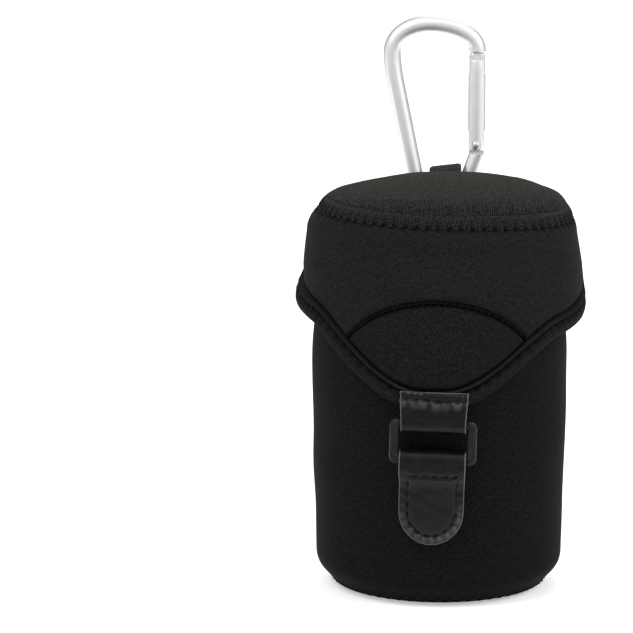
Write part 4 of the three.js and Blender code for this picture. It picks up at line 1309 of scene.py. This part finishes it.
def webbing_loop():
    """Webbing: up the back, round the carabiner's bend and down again, sewn through both layers."""
    bend = LOOP_EYE_DEPTH / 2 + WEBBING / 2
    inner = BULGE_RADIUS + GAP + WEBBING / 2
    outer = inner + WEBBING
    eye_top = SWING_HEIGHT + LOOP_EYE_RISE
    line = [[inner, SEWN_TOP - SEWN_LENGTH], [inner, SEWN_TOP - SEWN_LENGTH / 2], [inner, SEWN_TOP - 1],
            [inner + 0.7, SEWN_TOP + 3], [SWING_RADIUS - bend, SWING_HEIGHT - 1.5]]
    turns = np.linspace(0, math.pi, 13)
    line += [[SWING_RADIUS - bend * math.cos(a), eye_top + bend * math.sin(a)] for a in turns]
    line += [[SWING_RADIUS + bend - 0.2, SWING_HEIGHT - 1.5], [SWING_RADIUS + 3, SWING_HEIGHT - 5.2],
             [outer + 2.3, SEWN_TOP + 1.8], [outer, SEWN_TOP - 1.6], [outer, SEWN_TOP - SEWN_LENGTH / 2],
             [outer, SEWN_TOP - SEWN_LENGTH]]
    path, s, normals = strip_along(line, 0.19)
    half = WEBBING_WIDTH / 2
    x = np.linspace(-1, 1, 29)[None] * half
    rib = 0.09 * np.cos(s / RIB_PITCH * TURN)[:, None]
    warp = 0.05 * np.cos(x / WARP_PITCH * TURN)
    edge = smooth((half - np.abs(x)) / 0.9)
    thick = WEBBING / 2 * (0.55 + 0.45 * edge) + (rib + warp) * edge - 0.08

    def place(x, offset):
        flat = path[:, None, :] + normals[:, None, :] * offset[..., None]
        raised = smooth((flat[..., 1] - SWING_HEIGHT + 6) / 8)
        return np.stack([x + HANGING_OFFSET + WEBBING_PUSH * raised, flat[..., 0],
                         flat[..., 1] - WEBBING_SLANT * raised * (half - x) / (2 * half)], -1)

    loop = loft("webbing_loop", np.concatenate([place(x, thick), place(x[:, ::-1], -thick[:, ::-1])], 1))
    front = outer + WEBBING / 2
    box = ((-1, BOX_TOP), (1, BOX_TOP), (1, BOX_LOW), (-1, BOX_LOW), (-1, BOX_TOP), (1, BOX_LOW))
    corners = [(x * BOX_HALF, z) for x, z in box]

    def sewn(along, t, h):
        across, up = at_steps(corners, along).T
        return np.stack([HANGING_OFFSET + across, front + 0.02 + h, up], -1)

    return loop, add_mesh("webbing_thread", stitches(sewn, BOX_SEWING, 2.4, radius=0.24))


# Carabiner

WIRE_SIDES = 48
TONGUE = 1.7
CAP_HEIGHT = 2.3
CAP_FLAT = 1.85


def lean(points):
    """From the carabiner's own upright frame to its place at the back, where it leans a little."""
    x, y, z = np.moveaxis(np.array(points, float), -1, 0)
    z = z + BOTTOM_BEND - SWING_RISE
    turn = math.radians(CARABINER_LEAN)
    return np.stack([x + CARABINER_OFFSET, SWING_RADIUS + y * math.cos(turn) + z * math.sin(turn),
                     SWING_HEIGHT + z * math.cos(turn) - y * math.sin(turn)], -1)


def arc(x, z, wide, high, turns):
    """Points of an ellipse's arc, as [across, height]."""
    return [[x + wide * math.cos(turn), z + high * math.sin(turn)] for turn in turns]


def wire_path():
    """The frame's wire: from the nose over the top, down the spine, round the bottom and up the leg."""
    right_turn = NOSE_HEIGHT + WIRE / 8
    points = [[GATE_OFFSET, NOSE_HEIGHT]]
    points += arc(-APEX_OFFSET, right_turn, GATE_OFFSET + APEX_OFFSET, APEX_HEIGHT - right_turn,
                  np.radians(np.arange(0, 91, 10)))
    points += arc(-APEX_OFFSET, SPINE_TURN_HEIGHT, SPINE_OFFSET - APEX_OFFSET,
                  APEX_HEIGHT - SPINE_TURN_HEIGHT, np.radians(np.arange(100, 181, 10)))
    start = math.radians(180 + SPINE_ANGLE)
    tangent = [BOTTOM_BEND * math.cos(start), BOTTOM_BEND * math.sin(start)]
    tilt = math.radians(SPINE_ANGLE)
    length = 2 * WIRE
    top = SPINE_TURN_HEIGHT - length
    below = tangent[0] - (top - tangent[1]) * math.tan(tilt)
    for t in (0.17, 0.34, 0.5, 0.67, 0.84):
        ease = 3 * t ** 2 - 2 * t ** 3
        leave, arrive = t ** 3 - 2 * t ** 2 + t, t ** 3 - t ** 2
        points.append([-SPINE_OFFSET + (below + SPINE_OFFSET) * ease + arrive * length * math.sin(tilt),
                       SPINE_TURN_HEIGHT - length * ease - leave * length - arrive * length * math.cos(tilt)])
    for share in (0, 0.2, 0.4, 0.6, 0.8):
        height = between(top, tangent[1], share)
        points.append([tangent[0] - (height - tangent[1]) * math.tan(tilt), height])
    end = math.radians(360 - NOSE_LEG_ANGLE)
    points += arc(0, 0, BOTTOM_BEND, BOTTOM_BEND, np.linspace(start, end, 13))
    x, z = points[-1]
    rise = LEG_TOP + 1.2 - z
    slope = math.tan(math.radians(NOSE_LEG_ANGLE))
    points += [[x + rise * share * slope, z + rise * share] for share in (0.5, 1)]
    return np.array([[x, 0, z] for x, z in points])


def tongue_plate(corners):
    """A flat plate in the carabiner's plane, from corners of [across, height] beside the gate's line."""
    x, z = np.array(corners, float).T
    return loft_data([np.stack([GATE_OFFSET + x, 0 * x + y, z], 1) for y in (-TONGUE / 2, TONGUE / 2)])


def carabiner_frame():
    curve = curve_through(wire_path())
    end = steps_along(curve)[-1]
    s = np.concatenate([np.arange(0, 4, 0.16), np.linspace(4, end - 0.8, 240), end - np.array([0.4, 0.2, 0])])
    path = at_steps(curve, s)
    ways = ways_along(path)
    beside = np.stack([-ways[:, 2], 0 * ways[:, 0], ways[:, 0]], 1)
    turns = full_turn(WIRE_SIDES)[:, None]
    front = np.array([0.0, -1.0, 0.0])
    radius = (WIRE / 2 - 0.3 * (1 - smooth(s / 0.35)))[:, None, None]
    rings = path[:, None] + radius * (np.cos(turns) * front + np.sin(turns) * beside[:, None])
    foot = s > end - 5
    rings[foot, :, 2] = np.minimum(rings[foot, :, 2], LEG_TOP)
    nose, leg = NOSE_HEIGHT, LEG_TOP - 1.8
    plates = [
        [(-2.1, nose + 1.3), (-2.1, nose - 2.6), (-0.6, nose - 2.6), (-0.6, nose - 4.2), (-2.1, nose - 4.2),
         (-2.1, nose - 6), (2.1, nose - 6), (2.1, nose + 1.3)],
        [(-2.3, leg), (2.3, leg), (2.3, RIVET_HEIGHT + 1.2), (1.5, RIVET_HEIGHT + 2.1),
         (-1.5, RIVET_HEIGHT + 2.1), (-2.3, RIVET_HEIGHT + 1.2)]]
    parts = [loft_data(rings)] + [tongue_plate(corners) for corners in plates]
    return sharpened(add_mesh("carabiner_wire", [(lean(points), faces, uvs) for points, faces, uvs in parts]))


def carve(obj, cutter):
    """Takes the cutter's shape out of obj, and the cutter away."""
    modifier = obj.modifiers.new("cut", "BOOLEAN")
    modifier.operation = "DIFFERENCE"
    modifier.solver = "EXACT"
    modifier.object = cutter
    made = evaluated_mesh(obj)
    obj.modifiers.clear()
    obj.data = made
    bpy.data.objects.remove(cutter)


def gate_tube():
    """The gate: a round tube with a slot for the frame's tongue at each end."""
    top = NOSE_HEIGHT - GAP
    half = WIRE / 2
    cap = top - CAP_HEIGHT
    section = np.array([
        [half - 0.3, GATE_BOTTOM], [half - 0.08, GATE_BOTTOM + 0.12], [half, GATE_BOTTOM + 0.4],
        [half, cap - 0.5], [half - 0.05, cap - 0.2], [half - 0.2, cap - 0.05], [half, cap + 0.05],
        [half, top - 0.9], [half - 0.2, top - 0.4], [half - 0.5, top - 0.12], [half - 0.9, top],
        [1.5, top], [1.5, GATE_BOTTOM]])
    fine = []
    for a, b in zip(section, np.roll(section, -1, 0)):
        count = max(int(np.linalg.norm(b - a) / 2.5), 1)
        fine += [between(a, b, t) for t in np.arange(count) / count]
    radius, height = np.array(fine).T
    rings = around(radius, full_turn(WIRE_SIDES)[:, None], height) + [GATE_OFFSET, 0, 0]
    flat = between(half, CAP_FLAT, smooth((rings[..., 2] - cap) / 0.06))
    rings[..., 1] = np.clip(rings[..., 1], -flat, flat)
    tube = loft("gate_tube", lean(rings), closed=True)
    slot = TONGUE / 2 + GAP
    for low, high in ((GATE_BOTTOM - 1, GATE_BOTTOM + 6.2), (top - 6.6, top + 1)):
        box = [[[GATE_OFFSET + x * 4, y * slot, z] for x, y in ((-1, -1), (1, -1), (1, 1), (-1, 1))]
               for z in (low, high)]
        carve(tube, loft("slot_cutter", lean(box)))
    return sharpened(tube)


def turned_pin(name, profile, z, sides):
    """A closed solid turned about a line along Y through the gate. The profile is [radius, y]."""
    radius, y = np.asarray(profile, float).T
    turns = full_turn(sides)[:, None]
    rings = np.stack([GATE_OFFSET + radius * np.cos(turns), y + 0 * turns, z + radius * np.sin(turns)], -1)
    return loft(name, lean(rings), closed=True, weld=True)


def gate_rivet():
    reach = WIRE / 2 + GAP
    dome = [[0, -reach - 0.55], [0.55, -reach - 0.5], [1.05, -reach - 0.3], [1.3, -reach],
            [1.3, -reach + 0.25], [1, -reach + 0.25]]
    other = [[radius, -y] for radius, y in reversed(dome)]
    return turned_pin("gate_rivet_pin", dome + other, RIVET_HEIGHT, 24)


def latch_pin():
    reach = WIRE / 2 - 0.35
    profile = [[0, -reach], [0.45, -reach], [0.6, -reach + 0.15], [0.6, reach - 0.15], [0.45, reach],
               [0, reach]]
    return turned_pin("latch_cross_pin", profile, NOSE_HEIGHT - 3.4, 16)


GATE_PIVOT = np.array([8.95, 49.732, 128.586])
GATE_AXIS = (0.0, 0.087156, 0.996195)
SPRING_LOW = 6.8
SPRING_HIGH = 18.2
SPRING_WIRE = 0.225
SPRING_RADIUS = 0.92
SPRING_TURNS = 8


def gate_point(along):
    """A point on the gate's own axis, at a distance from its pivot."""
    return GATE_PIVOT + np.asarray(GATE_AXIS) * along


def coil_spring():
    """The spring inside the gate, which pushes the plunger down."""
    turns = np.linspace(0, TURN * SPRING_TURNS, SPRING_TURNS * 16 + 1)[:, None]
    points = gate_point(between(SPRING_LOW, SPRING_HIGH, turns / turns[-1]))
    across = np.array([1.0, 0.0, 0.0])
    points += SPRING_RADIUS * (np.cos(turns) * across + np.sin(turns) * np.cross(GATE_AXIS, across))
    return add_mesh("coil_spring", [loft_data(tube_rings(points, SPRING_WIRE, 8))])


# Materials

# Painted shade at seams: how much of the way the seam mark takes the cloth's colour towards near black.
SEAM_SHADE = 0.92
SEAM_BLACK = 0.001
RIB = 0.65
# A wave texture repeats every twentieth of a turn, so at this scale one band is one unit wide.
ONE_BAND = TURN / 20
# The rest of a metal's finish scatters light like paint.
METAL_SHARE = 0.8


def grey(value, warmth=0.0):
    return (value * (1 + warmth), value, value * (1 - warmth), 1)


def finish(plain):
    """Makes a material of a function that gives the varied inputs. The plain ones are the same all over."""
    def maker(looks):
        def make(name, *settings):
            material = bpy.data.materials.new(name)
            shader = Shader(material)
            surface = shader.add("BsdfPrincipled", {**plain, **looks(shader, *settings)})
            shader.add("OutputMaterial", {"Surface": surface})
            return material
        return make
    return maker


@finish({"Roughness": 0.88, "Sheen Weight": 0.03, "Sheen Roughness": 0.3, "Sheen Tint": (1, 1, 0.6, 1),
         "Specular IOR Level": 0.06})
def knit(s, dark, light):
    """A fine heathered knit over foam: short upright fibres of two tones, in faint courses."""
    fine = 0.42
    speckle = s.noise(s.cloth((1 / fine, 0.6 / fine, 1)), 1.0, 2.5, 0.68)
    drift = s.span(s.noise(s.cloth(), 1.44), 0.3, 0.7, -0.06, 0.06)
    share = s.span(s.plus(speckle, drift), 0.38, 0.66)
    courses = s.bands(s.cloth((0.31 / fine, 0.31 / fine, 1)), "DIAGONAL", Distortion=0.7, Detail=1.0)
    height = s.plus(speckle, s.times(courses, 0.35))
    return {"Base Color": s.painted_seam_shade(s.tone(share, dark, light)), "Normal": s.bump(height, 0.1)}


@finish({"Roughness": 0.88, "Sheen Weight": 0.04, "Sheen Roughness": 0.3, "Sheen Tint": (1, 1, 0.6, 1),
         "Specular IOR Level": 0.06})
def ribbed_knit(s, dark, light):
    """The lid's knit: fine ribs that run from front to back."""
    ribs = s.bands(s.solid((1 / RIB, 0.25, 0.25)), "X", ONE_BAND,
                   **{"Distortion": 0.6, "Detail": 1.0, "Detail Scale": 1.5})
    speckle = s.noise(s.solid((1 / 0.4, 1 / 1.1, 1 / 0.7)), 1.0, 2.5, 0.62)
    share = s.plus(s.times(ribs, 0.55), s.span(speckle, 0.38, 0.64, -0.15, 0.65))
    share = s.plus(share, s.span(s.noise(s.solid(), 3.0), 0.3, 0.7, -0.06, 0.06))
    return {"Base Color": s.painted_seam_shade(s.tone(share, dark, light)), "Normal": s.bump(s.plus(ribs, speckle), 0.1)}


@finish({"Roughness": 0.85, "Sheen Weight": 0.04, "Sheen Roughness": 0.3, "Specular IOR Level": 0.08})
def tape_cloth(s, dark, light):
    """Knitted tape: close ribs across its width."""
    ribs = s.bands(s.cloth((0.62, 0.05, 1)), "X", Distortion=0.5)
    speckle = s.noise(s.cloth(), 0.55, 2.0, 0.6)
    tufts = s.span(s.plus(s.times(ribs, 0.15), speckle), 0.46, 0.74)
    return {"Base Color": s.painted_seam_shade(s.tone(tufts, dark, light)), "Normal": s.bump(s.plus(ribs, speckle), 0.12)}


@finish({"Roughness": 0.6, "Sheen Weight": 0.05, "Sheen Roughness": 0.35, "Specular IOR Level": 0.25})
def webbing_cloth(s, dark, light):
    """Woven webbing: warp cords along it, crossed by its ribs."""
    weave = s.bands(s.cloth((1 / RIB_PITCH, 1 / WARP_PITCH, 1)), "DIAGONAL", ONE_BAND, Distortion=0.4)
    speckle = s.noise(s.cloth(), 0.3)
    return {"Base Color": s.tone(s.times(weave, speckle), dark, light),
            "Normal": s.bump(s.plus(weave, speckle), 0.08)}


@finish({"Roughness": 0.55, "Specular IOR Level": 0.1})
def thread_cloth(s, dark, light):
    """Twisted polyester thread."""
    twist = s.bands(s.cloth((1.1, 0.7, 1)), "DIAGONAL")
    return {"Base Color": s.tone(twist, dark, light), "Normal": s.bump(twist, 0.06)}


@finish({"Roughness": 0.8, "Sheen Weight": 0.08, "Sheen Roughness": 0.5, "Specular IOR Level": 0.2})
def pile(s, dark, light, size):
    """Hook or loop pile: small tight tufts."""
    tufts = s.add("TexVoronoi", {"Vector": s.solid(), "Scale": 1 / size}, "Distance")
    return {"Base Color": s.tone(s.span(tufts, 0.15, 0.6), light, dark),
            "Normal": s.bump(s.span(tufts, 0, 0.8, 1, 0), 0.25)}


@finish({"Specular IOR Level": 0.22})
def leather(s, dark, light, cut):
    """Smooth black leather: pebbled grain, scuffs, and a paler raw cut edge, whose colour the cut mark also
    paints on puckered crests as a highlight.
    """
    place = s.solid()
    cells = s.add("TexVoronoi", {"Vector": place, "Scale": 1 / 0.62, "Randomness": 0.9}, "Distance",
                  feature="SMOOTH_F1")
    fibre = s.noise(place, 0.35, 3.0, 0.6)
    scuff = s.noise(place, 3.2, 3.0, 0.6)
    face = s.tone(s.times(s.span(scuff, 0.45, 0.75), 0.6), dark, light)
    raw = s.tone(fibre, grey(cut * 0.55), grey(cut * 1.45))
    edge = s.mark("cut")
    polish = s.plus(s.span(fibre, 0.3, 0.7, 0.24, 0.36), s.span(scuff, 0.3, 0.7, -0.04, 0.08))
    return {"Base Color": s.tone(edge, face, raw), "Roughness": s.plus(polish, s.times(edge, 0.45)),
            "Normal": s.bump(s.plus(s.times(cells, 0.8), s.times(fibre, 0.5)), 0.075)}


@finish({"Specular IOR Level": 0.25})
def moulded_plastic(s, dark, light):
    wear = s.noise(s.solid(), 2.4, 3.0)
    return {"Base Color": s.tone(s.span(wear, 0.35, 0.75), dark, light),
            "Roughness": s.span(wear, 0.3, 0.7, 0.3, 0.4), "Normal": s.bump(s.noise(s.solid(), 0.25), 0.02)}


@finish({"Metallic": METAL_SHARE})
def metal(s, color, low, high):
    cloudy = s.noise(s.solid(), 6.0, 3.0)
    dim = tuple(part * 0.93 for part in color[:3]) + (1,)
    return {"Base Color": s.tone(cloudy, dim, color), "Roughness": s.span(cloudy, 0.3, 0.7, low, high),
            "Normal": s.bump(s.noise(s.solid(), 0.3), 0.006)}


def dress(piece, body, slot, material, *nodes):
    """Gives a new piece its finish and its body, and hides the solids that it stands for."""
    piece.data.materials.clear()
    piece.data.materials.append(material)
    if body:
        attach(piece, body)
    if nodes:
        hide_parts(*nodes)
    return piece


def finish_solid(name, material):
    """A solid that keeps its shape gets its finish."""
    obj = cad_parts[name]
    for slot in obj.material_slots:
        slot.material = material
    obj.data.polygons.foreach_set("use_smooth", [True] * len(obj.data.polygons))


# Assembly

bpy.context.scene.view_settings.view_transform = "Standard"
add_camera()
add_world()
add_floor()
add_lamps()

# Painted shade: body_knit and tip_knit are the flap's neoprene set darker, the body darkest, because less
# light reaches the lower panels.
body_knit = knit("body_knit", grey(0.0025, 0.01), grey(0.0118, 0.02))
flap_knit = knit("flap_knit", grey(0.0062), grey(0.0185))
tip_knit = knit("tip_knit", grey(0.0042), grey(0.0155))
lid_knit = ribbed_knit("lid_knit", grey(0.0004), grey(0.031))
tape = tape_cloth("tape", grey(0.0028), grey(0.038))
web_cloth = webbing_cloth("web_cloth", grey(0.003), grey(0.014))
sewing_thread = thread_cloth("sewing_thread", grey(0.002), grey(0.007))
# Painted shade: the arch's thread is black, and set darker still for the shade of the groove it lies in.
dark_thread = thread_cloth("dark_thread", grey(0.0003), grey(0.0012))
soft_pile = pile("soft_pile", grey(0.004), grey(0.012), 0.55)
hook_plastic = pile("hook_plastic", grey(0.005), grey(0.014), 0.4)
black_leather = leather("black_leather", grey(0.0025), grey(0.006), 0.13)
grey_plastic = moulded_plastic("grey_plastic", grey(0.0085), grey(0.014))
satin_aluminium = metal("satin_aluminium", (0.86, 0.87, 0.88, 1), 0.35, 0.4)
plain_steel = metal("plain_steel", (0.62, 0.63, 0.65, 1), 0.25, 0.36)

dress(pouch_wall(), "pouch", "neoprene", body_knit, "body_wall")
dress(base_pad(), "pouch", "neoprene", body_knit, "base_panel")
dress(base_seam(), "pouch", "thread", sewing_thread, "base_seam")
mouth, mouth_sewing = mouth_tape()
dress(mouth, "pouch", "knit_tape", tape, "mouth_binding")
dress(mouth_sewing, "pouch", "thread", sewing_thread)
dress(loop_pad(), "pouch", "loop_pile", soft_pile, "loop_patch")
loop, loop_sewing = webbing_loop()
dress(loop, "pouch", "webbing", web_cloth, "hang_loop")
dress(loop_sewing, "pouch", "thread", sewing_thread)

web = dress(hinge_web(), None, "neoprene", flap_knit, "back_web")
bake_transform(web)

dress(lid_top(), "lid", "lid_neoprene", lid_knit, "top_panel")
seam_band, seam_sewing = lid_seam()
dress(seam_band, "lid", "knit_tape", tape, "lid_seam")
dress(seam_sewing, "lid", "thread", sewing_thread)
dress(flap_skirt(), "lid", "neoprene", flap_knit, "flap_panel")
dress(flap_tip(), "lid", "neoprene", tip_knit, "flap_tip_panel")
dress(arch_roll(), "lid", "thread", dark_thread, "arch_seam")
dress(flap_edge_band(), "lid", "neoprene", flap_knit, "flap_binding")
dress(band_stitches(), "lid", "thread", sewing_thread)
strap, strap_sewing = anchor_strap()
dress(strap, "lid", "leather", black_leather, "anchor_strap")
dress(strap_sewing, "lid", "thread", sewing_thread)

dress(ring_frame(), "ring", "plastic", grey_plastic, "ring_buckle")
dress(pull_tab(), "tab", "leather", black_leather, "pull_tab")
dress(tab_stitches(), "tab", "thread", sewing_thread)
hooks, hook_rows = hook_pad()
dress(hooks, "tab", "hook_pile", hook_plastic, "hook_patch")
dress(hook_rows, "tab", "hook_pile", hook_plastic)

dress(carabiner_frame(), "carabiner", "aluminium", satin_aluminium, "carabiner_frame")
dress(gate_rivet(), "carabiner", "steel", plain_steel, "gate_rivet")
dress(gate_tube(), "gate", "aluminium", satin_aluminium, "gate")
dress(latch_pin(), "gate", "steel", plain_steel, "latch_pin")
spring = dress(coil_spring(), "gate", "steel", plain_steel, "gate_spring")
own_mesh(spring)
finish_solid("gate_plunger", plain_steel)
